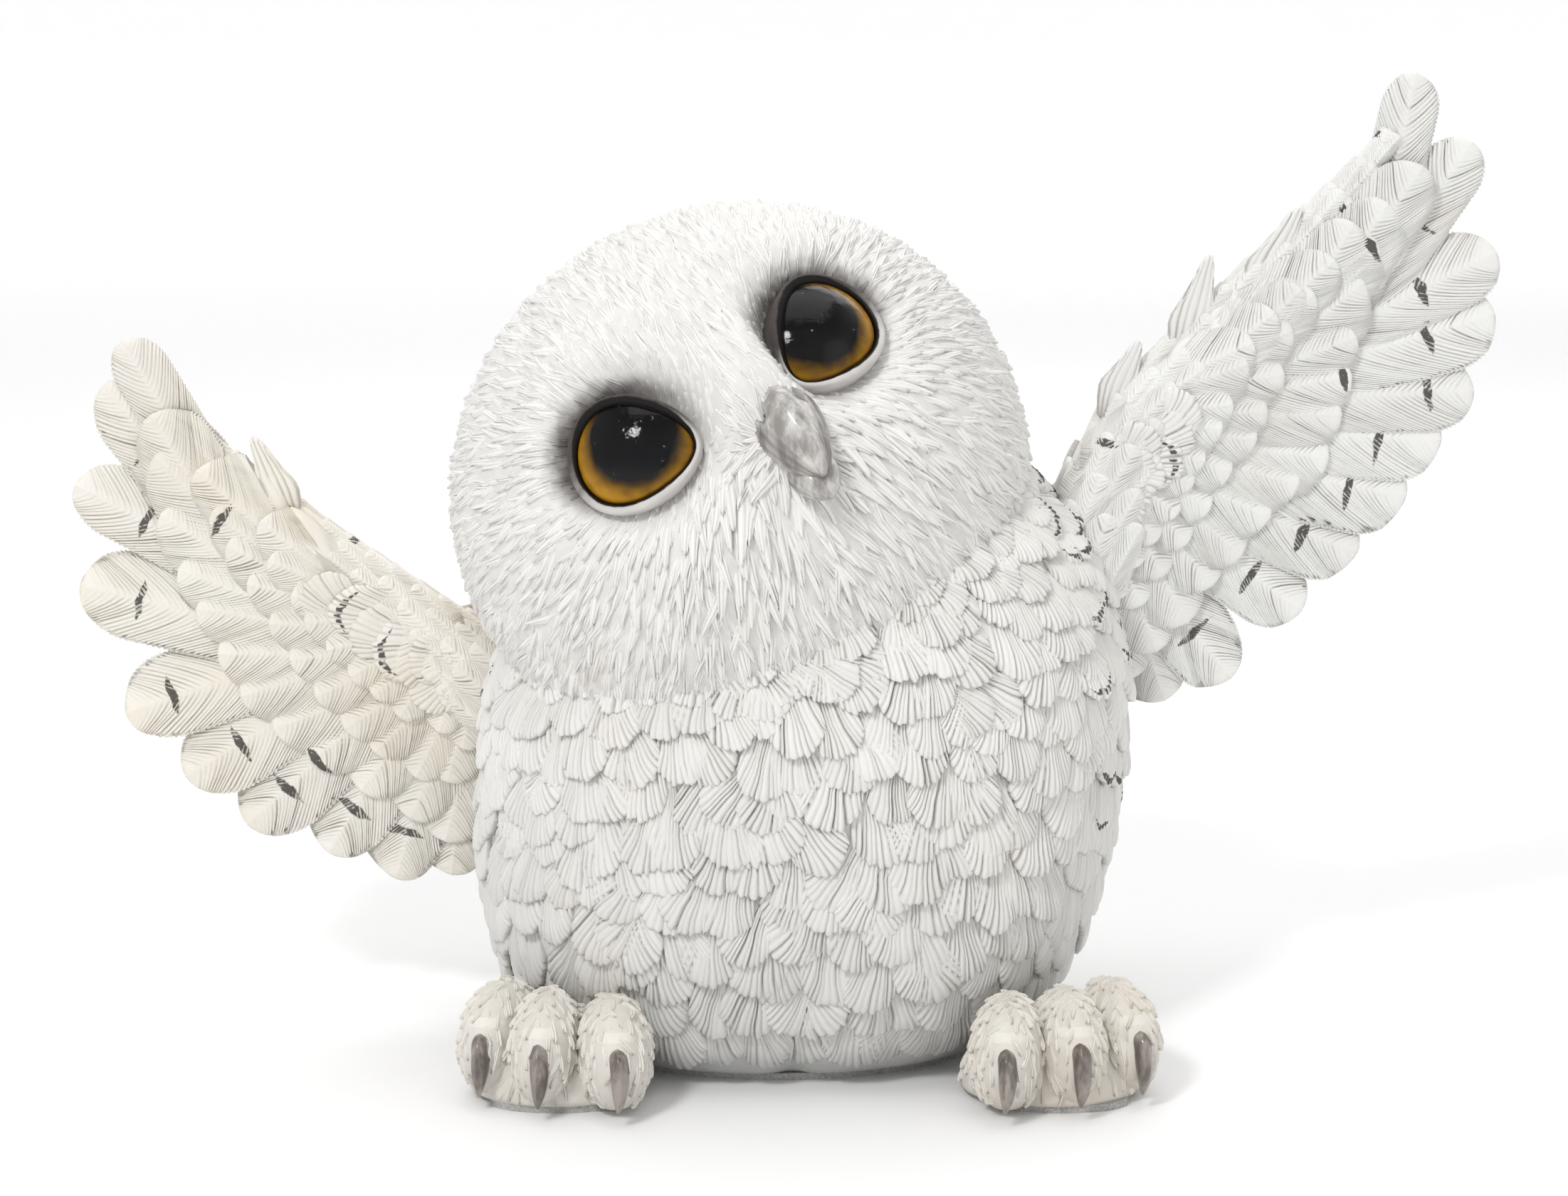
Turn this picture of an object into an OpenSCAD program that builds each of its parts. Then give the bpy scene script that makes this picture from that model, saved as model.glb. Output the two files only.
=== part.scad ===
// Owl figurine with spread wings, cast in resin in several pieces and glued on pins.
// Millimetres. The owl faces -Y, +Z is up, and the origin is on the table under its base.
// "left" and "right" are the owl's own: its left wing is on +X.

/* [Body] */
// Half-sizes of the body: side to side, front to back, and up
body_r = [46.4, 37.1, 54];
// Height of the widest part of the body
belly_z = 38; // [36:0.5:40]
// Lean of the body to its left
body_lean = 4.9; // [3:0.1:6]
// Thickness of the cast walls
wall = 6; // [5:0.5:7]

/* [Head] */
// Centre of the head
head_at = [-7.85, -4, 79.5];
// Half-sizes of the head: ear to ear, front to back, chin to crown
head_r = [41.3, 34, 39.4];
// Tilt of the head to its left
head_roll = 31; // [30:0.1:36]
// Turn of the face to its left
head_yaw = 15.4; // [14:0.1:20]
// Upward look of the face
head_pitch = 19.4; // [16:0.1:22]

/* [Eyes] */
// Half-length of the clear lens, towards the beak
eye_a = 8.3; // [8:0.1:8.8]
// Half-height of the clear lens
eye_b = 6.8; // [6.6:0.1:7.4]
// Sideways distance of each eye from the middle of the face
eye_x = 14.5; // [14.2:0.1:15]
// Height of the eyes above the middle of the head
eye_z = 4.3; // [3:0.1:5]
// Width of the pale rim round each lens
lid_w = 1.4; // [1.3:0.1:1.8]

/* [Wings] */
// Thickness of a flight feather
feather_t = 2.4; // [2:0.1:3]
// Width of a flight feather
feather_w = 11.5; // [10.5:0.5:13]
// Backward sweep of the spread wings
wing_sweep = 5; // [0:0.5:8]

/* [Feet] */
// Half-sizes of one furry toe
toe_r = [4.9, 9.5, 7.6];
// Length of a claw
claw_l = 8; // [7:0.5:8.5]

/* [Fit] */
// Thickness of the felt under the base and the feet
felt_t = 1; // [0.8:0.1:1.4]
// Glue gap between two castings
gap = 0.15; // [0.1:0.05:0.2]
// Radius of the steel pins in the wings
pin_r = 2; // [1.5:0.25:2.25]

/* [Hidden] */
$fn = 96;
resin = "Ivory";
horn = "DimGray";
// The leaning body is set this far to its left
body_x = 0.5;
// Radius of the filling hole in the base, and of the neck pin
fill_r = 9;
neck_r = 8;
// Depth of the eye below the front of the head, and outward turn of each eye
eye_sink = 3.4;
eye_turn = 20;
// The pointed end of the lens dips towards the beak by this angle
eye_dip = 28;
lens_r = 11;
lens_t = 4.2;
// Where the plane of a wing meets the body
wing_root_x = 40;
wing_root_y = 5;

// ---------- shapes the sub-parts share ----------

// Egg-shaped solid of the body above height z0, grown by d (or shrunk when d is negative)
module body_solid(z0, d = 0)
    difference() {
        translate([body_x, 0, belly_z]) rotate([0, body_lean, 0])
            scale([body_r[0] + d, body_r[1] + d, body_r[2] + d]) sphere(1);
        translate([-100, -100, z0 - 100]) cube([200, 200, 100]);
    }

// Places its children in the head's own frame
module on_head()
    translate(head_at) rotate([0, -head_roll, 0]) rotate([0, 0, head_yaw])
        rotate([-head_pitch, 0, 0]) children();

// Ellipsoid of the head, grown by d
module head_solid(d = 0)
    on_head() scale([head_r[0] + d, head_r[1] + d, head_r[2] + d]) sphere(1);

// Front of the head at a place on the face
function face_y(x, z) = -head_r[1] * sqrt(1 - pow(x / head_r[0], 2) - pow(z / head_r[2], 2));

// Places its children on one eye: +Z looks out of the eye, +X points at the beak
module on_eye(side)
    on_head() mirror([side > 0 ? 1 : 0, 0, 0])
        translate([-eye_x, face_y(eye_x, eye_z) + eye_sink, eye_z])
            rotate([0, 0, -eye_turn]) rotate([90, 0, 0]) rotate([0, 0, -eye_dip]) children();

// Egg-shaped outline of the lens, grown by d, with its narrow end on +X
module eye_outline(d = 0)
    polygon([for (t = [0:10:350])
        [(eye_a + d) * cos(t), (eye_b + d) * sin(t) * (1 - 0.2 * cos(t))]]);

// Outline of a feather from its root to its rounded tip along +X
module feather_outline(len, w) {
    half = [for (i = [0:10]) let (s = i / 10)
        [len * s, w / 2 * (0.55 + 0.45 * min(1, s / 0.4)) * sqrt(1 - pow(s, 5))]];
    polygon(concat(half, [for (i = [9:-1:0]) [half[i][0], -half[i][1]]]));
}

// Places its children in the plane of a wing: X and Y there are the owl's X and Z,
// and its Z points to the front; side = 1 for the left wing
module on_wing(side)
    translate([side * wing_root_x, wing_root_y, 0]) rotate([0, 0, side * wing_sweep])
        rotate([90, 0, 0]) translate([-side * wing_root_x, 0, 0]) children();

// One layer of overlapping feathers, f = list of [tip x, tip z, direction, length]
module feather_layer(f, w, front)
    translate([0, 0, front - feather_t]) linear_extrude(feather_t)
        offset(delta = 0.01) for (q = f)
            translate([q[0] - q[3] * cos(q[2]), q[1] - q[3] * sin(q[2])]) rotate(q[2])
                feather_outline(q[3], w);

// Arm of a wing: p = list of [x, z, radius], with a cone from each to a little past the next
module wing_arm(p)
    for (i = [0:len(p) - 2]) {
        d = [p[i + 1][0] - p[i][0], p[i + 1][1] - p[i][1]];
        translate([p[i][0], p[i][1], 0]) rotate([0, 90, atan2(d[1], d[0])])
            cylinder(r1 = p[i][2], r2 = p[i + 1][2], h = norm(d) + 1.5);
    }

// ---------- wings: [tip x, tip z, direction, length] of each feather ----------

left_flights = [[87, 135, 76, 32], [94, 126, 57, 34], [98, 111, 28, 34], [98.5, 101, 14, 36],
    [95.5, 91.5, 4, 36], [91, 83, -6, 34], [86, 75, -14, 32], [79, 67, -25, 30],
    [72, 60, -34, 30], [62, 50, -50, 26], [53, 48, -68, 22]];
left_coverts = [[77, 108, 38, 28], [77, 96, 14, 28], [75, 85, -4, 28], [69, 76, -20, 26],
    [62, 67, -36, 24], [54, 60, -55, 20]];
left_arm = [[40, 66, 8.5], [49, 88, 6.5], [64, 105, 5], [79, 121, 3.2]];
left_pin_z = [60, 72];

right_flights = [[-95, 98, 128, 34], [-99, 91, 138, 34], [-103, 78, 158, 36],
    [-103, 63, 176, 38], [-97, 45, 202, 38], [-88, 34, 216, 36], [-79, 27, 228, 32],
    [-68, 24, 240, 30], [-59, 20.5, 252, 28], [-51, 21, 262, 24]];
right_coverts = [[-87, 74, 152, 28], [-84, 62, 176, 28], [-78, 50, 200, 28],
    [-70, 40, 222, 26], [-61, 33, 240, 22], [-52, 30, 258, 18]];
right_arm = [[-43, 48, 8], [-56, 60, 6], [-70, 72, 4.6], [-86, 87, 3]];
right_pin_z = [38, 50];

// A whole wing before its seat and its pin bores are cut
module wing_solid(side, flights, coverts, arm)
    on_wing(side) {
        feather_layer(flights, feather_w, feather_t / 2);
        feather_layer(coverts, feather_w + 1.5, feather_t + 0.6);
        wing_arm(arm);
    }

// The two pins of one wing, side = 1 for the left; grown by d for their bores
module wing_pins(side, heights, d = 0)
    for (z = heights)
        translate([side * 34, wing_root_y, z]) rotate([0, side * 90, 0])
            cylinder(r = pin_r + d, h = 18);

module wing(side, flights, coverts, arm, pins)
    color(resin) difference() {
        wing_solid(side, flights, coverts, arm);
        body_solid(-5, gap);
        wing_pins(side, pins);
    }

// ---------- feet: [x, y of the toe's front, turn] of each toe ----------

left_toes = [[28, -44, -6], [36, -41.5, 6], [43, -36.5, 16]];
right_toes = [[-24.5, -44, 6], [-33.5, -42, -4], [-40, -37.5, -14]];

// Places its children at the middle of a toe
module on_toe(toe)
    translate([toe[0], toe[1] + toe_r[1], felt_t + toe_r[2] * 0.82]) rotate([0, 0, toe[2]])
        children();

// Pin that holds a foot to the body; side = 1 for the left
module foot_pin(side)
    translate([side * 32 + 1, -34, 7.5]) rotate([-90, 0, 0]) cylinder(r = 1.5, h = 14);

// One flattened, curved claw, pointing down in front of its toe
module claw()
    translate([0, -toe_r[1] + 1.2, -0.4]) rotate([-16, 0, 0])
        scale([1.35, 1.5, claw_l / 2]) sphere(1);

module foot(side, toes)
    color(resin) difference() {
        union() {
            for (toe = toes) on_toe(toe) scale(toe_r) sphere(1);
            translate([side * 33 + 1, -29, felt_t]) scale([11.5, 9, 10]) sphere(1);
        }
        translate([-80, -80, felt_t - 30]) cube([160, 160, 30]);
        body_solid(-5, gap);
        for (toe = toes) on_toe(toe) claw();
        foot_pin(side);
    }

module claws(toes)
    color(horn) for (toe = toes) on_toe(toe) claw();

// Oval pad of felt on the table, rx by ry
module felt_pad(x, y, rx, ry)
    color("DarkSlateGray") translate([x, y, 0]) linear_extrude(felt_t)
        polygon([for (t = [0:7.5:352.5]) [rx * cos(t), ry * sin(t)]]);

module foot_felt(side)
    felt_pad(side * 33.5 + 1.5, -34.2, 9, 4);

// ---------- sub-parts ----------

// Short tail, low on the back of the body
module tail_solid()
    difference() {
        translate([-2, 33, 16]) rotate([28, 0, 0]) scale([14, 6, 20]) sphere(1);
        translate([-100, -100, felt_t - 100]) cube([200, 200, 100]);
    }

module body_casting()
    color(resin) difference() {
        union() {
            body_solid(felt_t);
            tail_solid();
        }
        body_solid(felt_t + wall, -wall);
        head_solid(gap);
        translate([0, 0, -1]) cylinder(r = fill_r, h = wall + 4);
        on_head() translate([0, 0, -head_r[2] - 20]) cylinder(r = neck_r, h = 40);
        wing_pins(1, left_pin_z);
        wing_pins(-1, right_pin_z);
        foot_pin(1);
        foot_pin(-1);
    }

module head_casting()
    color(resin) difference() {
        head_solid();
        on_head() scale([head_r[0] - wall, head_r[1] - wall - 4, head_r[2] - wall]) sphere(1);
        for (side = [-1, 1]) on_eye(side) {
            translate([0, 0, 16.5]) sphere(20);
            translate([0, 0, -4]) linear_extrude(9) eye_outline(lid_w + 0.05);
        }
        on_head() translate([0, 0, -head_r[2] - 20]) cylinder(r = neck_r, h = 40);
        beak_solid(0.1);
    }

// Hooked beak: an upper bill over a short lower one, grown by d for its seat
module beak_solid(d = 0)
    on_head() {
        translate([2.4, -34.5, -9.6]) rotate([14, 5, 0]) scale([4.3 + d, 5.2 + d, 7.6 + d]) sphere(1);
        translate([1.6, -34.7, -16.2]) scale([3.1 + d, 3.5 + d, 2.7 + d]) sphere(1);
    }

module beak()
    color("Gray") beak_solid();

// Clear domed eye, flat at the back
module eye_lens(side)
    color("White", 0.4) on_eye(side) intersection() {
        translate([0, 0, 0]) linear_extrude(lens_t) eye_outline();
        translate([0, 0, lens_t - lens_r]) sphere(lens_r);
    }

// Painted disc behind the clear dome
module iris_disc(side)
    color("DarkGoldenrod") on_eye(side) translate([0, 0, -1 - 0.05]) linear_extrude(1) eye_outline();

module eyelid_ring(side)
    color("LightGray") on_eye(side) difference() {
        translate([0, 0, -3.9]) linear_extrude(5.3) eye_outline(lid_w);
        translate([0, 0, -1.05]) linear_extrude(8) eye_outline(0.05);
        translate([0, 0, -5]) linear_extrude(5) eye_outline(-2);
    }

module neck_pin()
    color("Silver") on_head() translate([0, 0, -head_r[2] - 12]) cylinder(r = neck_r - 0.1, h = 24);

// The felt under the base covers the filling hole and keeps clear of the feet
module base_felt()
    felt_pad(-2.6, 0, 31, 24.5);

module fill_plug()
    color("Black") translate([0, 0, felt_t]) cylinder(r = fill_r - 0.1, h = wall);

body_casting();
head_casting();
beak();
eye_lens(1);  // left_eye_lens
eye_lens(-1);  // right_eye_lens
iris_disc(1);  // left_iris_disc
iris_disc(-1);  // right_iris_disc
eyelid_ring(1);  // left_eyelid_ring
eyelid_ring(-1);  // right_eyelid_ring
wing(1, left_flights, left_coverts, left_arm, left_pin_z);  // left_wing
wing(-1, right_flights, right_coverts, right_arm, right_pin_z);  // right_wing
color("Silver") wing_pins(1, left_pin_z, -0.05);  // left_wing_pins
color("Silver") wing_pins(-1, right_pin_z, -0.05);  // right_wing_pins
neck_pin();
foot(1, left_toes);  // left_foot
foot(-1, right_toes);  // right_foot
claws(left_toes);  // left_claws
claws(right_toes);  // right_claws
color("Silver") foot_pin(1);  // left_foot_pin
color("Silver") foot_pin(-1);  // right_foot_pin
foot_felt(1);  // left_foot_felt
foot_felt(-1);  // right_foot_felt
base_felt();
fill_plug();
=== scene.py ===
import math

import bpy
import numpy as np
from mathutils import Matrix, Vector


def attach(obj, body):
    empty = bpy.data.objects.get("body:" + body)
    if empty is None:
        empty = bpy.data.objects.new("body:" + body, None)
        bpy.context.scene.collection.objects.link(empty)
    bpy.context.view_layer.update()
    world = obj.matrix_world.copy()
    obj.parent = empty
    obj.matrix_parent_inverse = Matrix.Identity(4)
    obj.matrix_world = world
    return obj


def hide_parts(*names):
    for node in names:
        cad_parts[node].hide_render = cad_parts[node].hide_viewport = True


# Owl figurine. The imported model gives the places; every piece here is a detailed mesh for one of its nodes.
# Lengths are in millimetres until a mesh is made. The owl faces -Y, and its left wing is on +X.

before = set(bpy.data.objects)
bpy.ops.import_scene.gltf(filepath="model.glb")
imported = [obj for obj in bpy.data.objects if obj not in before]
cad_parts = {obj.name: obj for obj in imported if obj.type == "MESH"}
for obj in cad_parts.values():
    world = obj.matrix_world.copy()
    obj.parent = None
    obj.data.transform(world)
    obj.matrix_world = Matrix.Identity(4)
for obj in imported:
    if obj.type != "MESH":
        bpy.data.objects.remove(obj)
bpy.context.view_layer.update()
rng = np.random.default_rng(11)
MM = 0.001
FACES_A_PIECE = 190000
NO_STROKE = -9.0  # where a brush stroke would be on a feather that has none


# ---------------------------------------------------------------- small maths

def unit(v):
    return v / np.maximum(np.linalg.norm(v, axis=-1, keepdims=True), 1e-9)


def bell(x):
    return np.exp(-x * x)


def smooth(x):
    x = np.clip(x, 0, 1)
    return x * x * (3 - 2 * x)


def spin(axis, degrees):
    """Rotation matrix about X, Y or Z."""
    c, s = math.cos(math.radians(degrees)), math.sin(math.radians(degrees))
    return np.array({"X": [[1, 0, 0], [0, c, -s], [0, s, c]],
                     "Y": [[c, 0, s], [0, 1, 0], [-s, 0, c]],
                     "Z": [[c, -s, 0], [s, c, 0], [0, 0, 1]]}[axis])


def circle(n):
    """n angles evenly round a full turn."""
    return np.linspace(0, 2 * math.pi, n, endpoint=False)


def ball(steep, rows, cols):
    """Directions in rings from -steep to steep radians of tilt, shaped (rows, cols, 3)."""
    tilt = np.linspace(-steep, steep, rows)[:, None]
    turn = circle(cols)[None] + 0 * tilt
    return np.stack([np.cos(tilt) * np.cos(turn), np.cos(tilt) * np.sin(turn), np.sin(tilt) + 0 * turn], -1)


def curve_at(points, n):
    """n points evenly spread along a smooth curve through the given ones."""
    points = np.array(points, float)
    ends = np.vstack([2 * points[0] - points[1], points, 2 * points[-1] - points[-2]])
    fine = []
    for a, b, c, d in zip(ends, ends[1:], ends[2:], ends[3:]):
        t = np.linspace(0, 1, 20)[:, None]
        fine.append(0.5 * (2 * b + (c - a) * t + (2 * a - 5 * b + 4 * c - d) * t ** 2
                           + (3 * b - a - 3 * c + d) * t ** 3))
    fine = np.vstack(fine)
    run = np.concatenate([[0], np.cumsum(np.linalg.norm(np.diff(fine, axis=0), axis=1))])
    at = np.linspace(0, run[-1], n)
    return np.stack([np.interp(at, run, fine[:, k]) for k in range(points.shape[1])], -1)


# ---------------------------------------------------------------- the surfaces that feathers lie on

class Body:
    """The barrel of the body: round in plan, flatter front to back, leaning to its left."""
    wide, belly_z, under, over, flat, lean = 45.2, 44.0, 51.2, 46.5, 0.8, 0.085
    base_z = 1.0

    def middle(self, z):
        return 1 + self.lean * (z - self.belly_z)

    def half(self, z):
        low = np.clip((self.belly_z - z) / self.under, 0, 1)
        high = np.clip((z - self.belly_z) / self.over, 0, 0.995)
        return self.wide * np.where(z < self.belly_z, (1 - low ** 2.8) ** (1 / 2.8), np.sqrt(1 - high ** 2))

    def swell(self, angle, z):
        """Two thighs with a cleft between them; angle is 0 at the front."""
        thighs = 2.4 * bell((np.abs(angle - 0.03) - 0.55) / 0.38) * bell((z - 17) / 13)
        cleft = -2.0 * bell((angle - 0.06) / 0.075) * bell((z - 6) / 17)
        return thighs + cleft

    def __call__(self, p):
        z = np.clip(p[..., 2], self.base_z, self.belly_z + self.over - 0.6)
        dx, dy = p[..., 0] - self.middle(z), p[..., 1] / self.flat
        far = np.maximum(np.hypot(dx, dy), 1e-6)
        r = self.half(z) + self.swell(np.arctan2(dx, -dy), z)
        return np.stack([self.middle(z) + dx / far * r, dy / far * r * self.flat, z], -1)

    def depth(self, p):
        """Below 1 inside the body, above 1 outside it."""
        z = p[..., 2]
        return np.hypot(p[..., 0] - self.middle(z), p[..., 1] / self.flat) / np.maximum(self.half(z), 1)


class Head:
    """The head: an egg shape with a hollow round each eye, a bridge between them, brows and cheeks."""
    at = np.array([-7.85, -4.0, 79.5])
    half = np.array([40.4, 33.1, 38.5])
    axes = spin("Y", -31) @ spin("Z", 15.4) @ spin("X", -19.4)
    eye_x, eye_z, eye_sink, eye_turn, eye_dip = 14.5, 4.3, 3.4, 20, 28
    eye_a, eye_b = 8.3, 6.8
    shell = (41.3, 34.0, 39.4)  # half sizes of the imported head, which the eyes are set in

    def local(self, p):
        return (p - self.at) @ self.axes

    def world(self, q):
        return q @ self.axes.T + self.at

    def swell(self, q):
        x, z = q[..., 0], q[..., 2]
        ax = np.abs(x)
        socket = np.where(ax < self.eye_x, 9.9, 11.2)
        far = np.hypot((ax - self.eye_x) / socket, (z - self.eye_z - 0.3) / 10.2)
        hollow = -4.6 * np.exp(-far ** 4.5)
        bridge = (4.3 * bell((x - 1.2) / 5.2) * bell((z - 3) / 11)
                  + 2.4 * bell((x - 5.6) / 2.3) * bell((z - 4) / 7))
        brow = 1.8 * bell((ax - 15) / 10) * bell((z - 18) / 5)
        cheek = 1.7 * bell((ax - 17) / 9) * bell((z + 15) / 7)
        return np.where(q[..., 1] < 0, hollow + bridge + brow + cheek, 0)

    def __call__(self, p):
        d = unit(self.local(p))
        q = d / np.linalg.norm(d / self.half, axis=-1, keepdims=True)
        return self.world(q + d * self.swell(q)[..., None])

    def depth(self, p):
        return np.linalg.norm(self.local(p) / self.half, axis=-1)

    def eye_frame(self, side):
        """Middle of the flat back of an eye, and its axes: to the beak, up, out; side 1 is the left eye."""
        wide, deep, high = self.shell
        y = -deep * math.sqrt(1 - (self.eye_x / wide) ** 2 - (self.eye_z / high) ** 2) + self.eye_sink
        turned = spin("Z", -self.eye_turn) @ spin("X", 90) @ spin("Z", -self.eye_dip)
        flip = np.diag([-side, 1, 1]) if side > 0 else np.eye(3)
        return self.world(flip @ np.array([-self.eye_x, y, self.eye_z])), self.axes @ flip @ turned


class Wing:
    """The middle surface of one wing, swept back and cupped, and thicker towards its arm."""

    def __init__(self, arm, face=1):
        self.arm, self.face = np.array(arm, float), face

    def from_arm(self, x, z):
        """Distance from the arm, which runs through its points."""
        best = np.full(np.shape(x), 1e9)
        for a, b in zip(self.arm, self.arm[1:]):
            d = b[:2] - a[:2]
            t = np.clip(((x - a[0]) * d[0] + (z - a[1]) * d[1]) / (d @ d), 0, 1)
            best = np.minimum(best, np.hypot(x - a[0] - t * d[0], z - a[1] - t * d[1]))
        return best

    def middle(self, x, z):
        out = np.abs(x) - 40
        return 5 + 0.087 * out - 0.0028 * np.clip(self.from_arm(x, z) - 4, 0, 40) ** 2

    def half(self, x, z):
        return 0.9 + 4.2 * bell(self.from_arm(x, z) / 13) * smooth(1.25 - (np.abs(x) - 40) / 55)

    def __call__(self, p):
        x, z = p[..., 0], p[..., 2]
        return np.stack([x, self.middle(x, z) - self.face * self.half(x, z), z], -1)

    def opposite(self):
        return Wing(self.arm, -self.face)


class Tube:
    """Round arm through points [x, y, z, radius]."""

    def __init__(self, points):
        self.points = np.array(points, float)

    def __call__(self, p):
        best, out = np.full(p.shape[:-1], 1e9), np.zeros(p.shape)
        for a, b in zip(self.points, self.points[1:]):
            d = b[:3] - a[:3]
            t = np.clip(((p - a[:3]) @ d) / (d @ d), 0, 1)
            on = a[:3] + t[..., None] * d
            r = a[3] + t * (b[3] - a[3])
            far = np.linalg.norm(p - on, axis=-1)
            near = far - r < best
            best = np.where(near, far - r, best)
            out = np.where(near[..., None], on + unit(p - on) * r[..., None], out)
        return out


class Lump:
    """A rounded ellipsoid, such as a toe, with a flat sole at height sole."""

    def __init__(self, at, half, heading=0, tilt=0, sole=1.0):
        self.at, self.half, self.sole = np.array(at, float), np.array(half, float), sole
        self.axes = spin("Z", heading) @ spin("X", tilt)

    def __call__(self, p):
        d = unit((p - self.at) @ self.axes)
        q = (d / np.linalg.norm(d / self.half, axis=-1, keepdims=True)) @ self.axes.T + self.at
        q[..., 2] = np.maximum(q[..., 2], self.sole)
        return q


BODY, HEAD = Body(), Head()


# ---------------------------------------------------------------- mesh building

def grid_faces(rows, cols, flip=False):
    """Quads of one grid of rows x cols vertices."""
    r, c = np.meshgrid(np.arange(rows - 1), np.arange(cols - 1), indexing="ij")
    a = (r * cols + c).ravel()
    quads = np.stack([a, a + 1, a + cols + 1, a + cols], -1)
    return quads[:, ::-1] if flip else quads


def rim_of(rows, cols):
    """The vertices round the edge of one grid, anticlockwise."""
    index = np.arange(rows * cols).reshape(rows, cols)
    return np.concatenate([index[0], index[1:, -1], index[-1, -2::-1], index[-2:0:-1, 0]])


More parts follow.
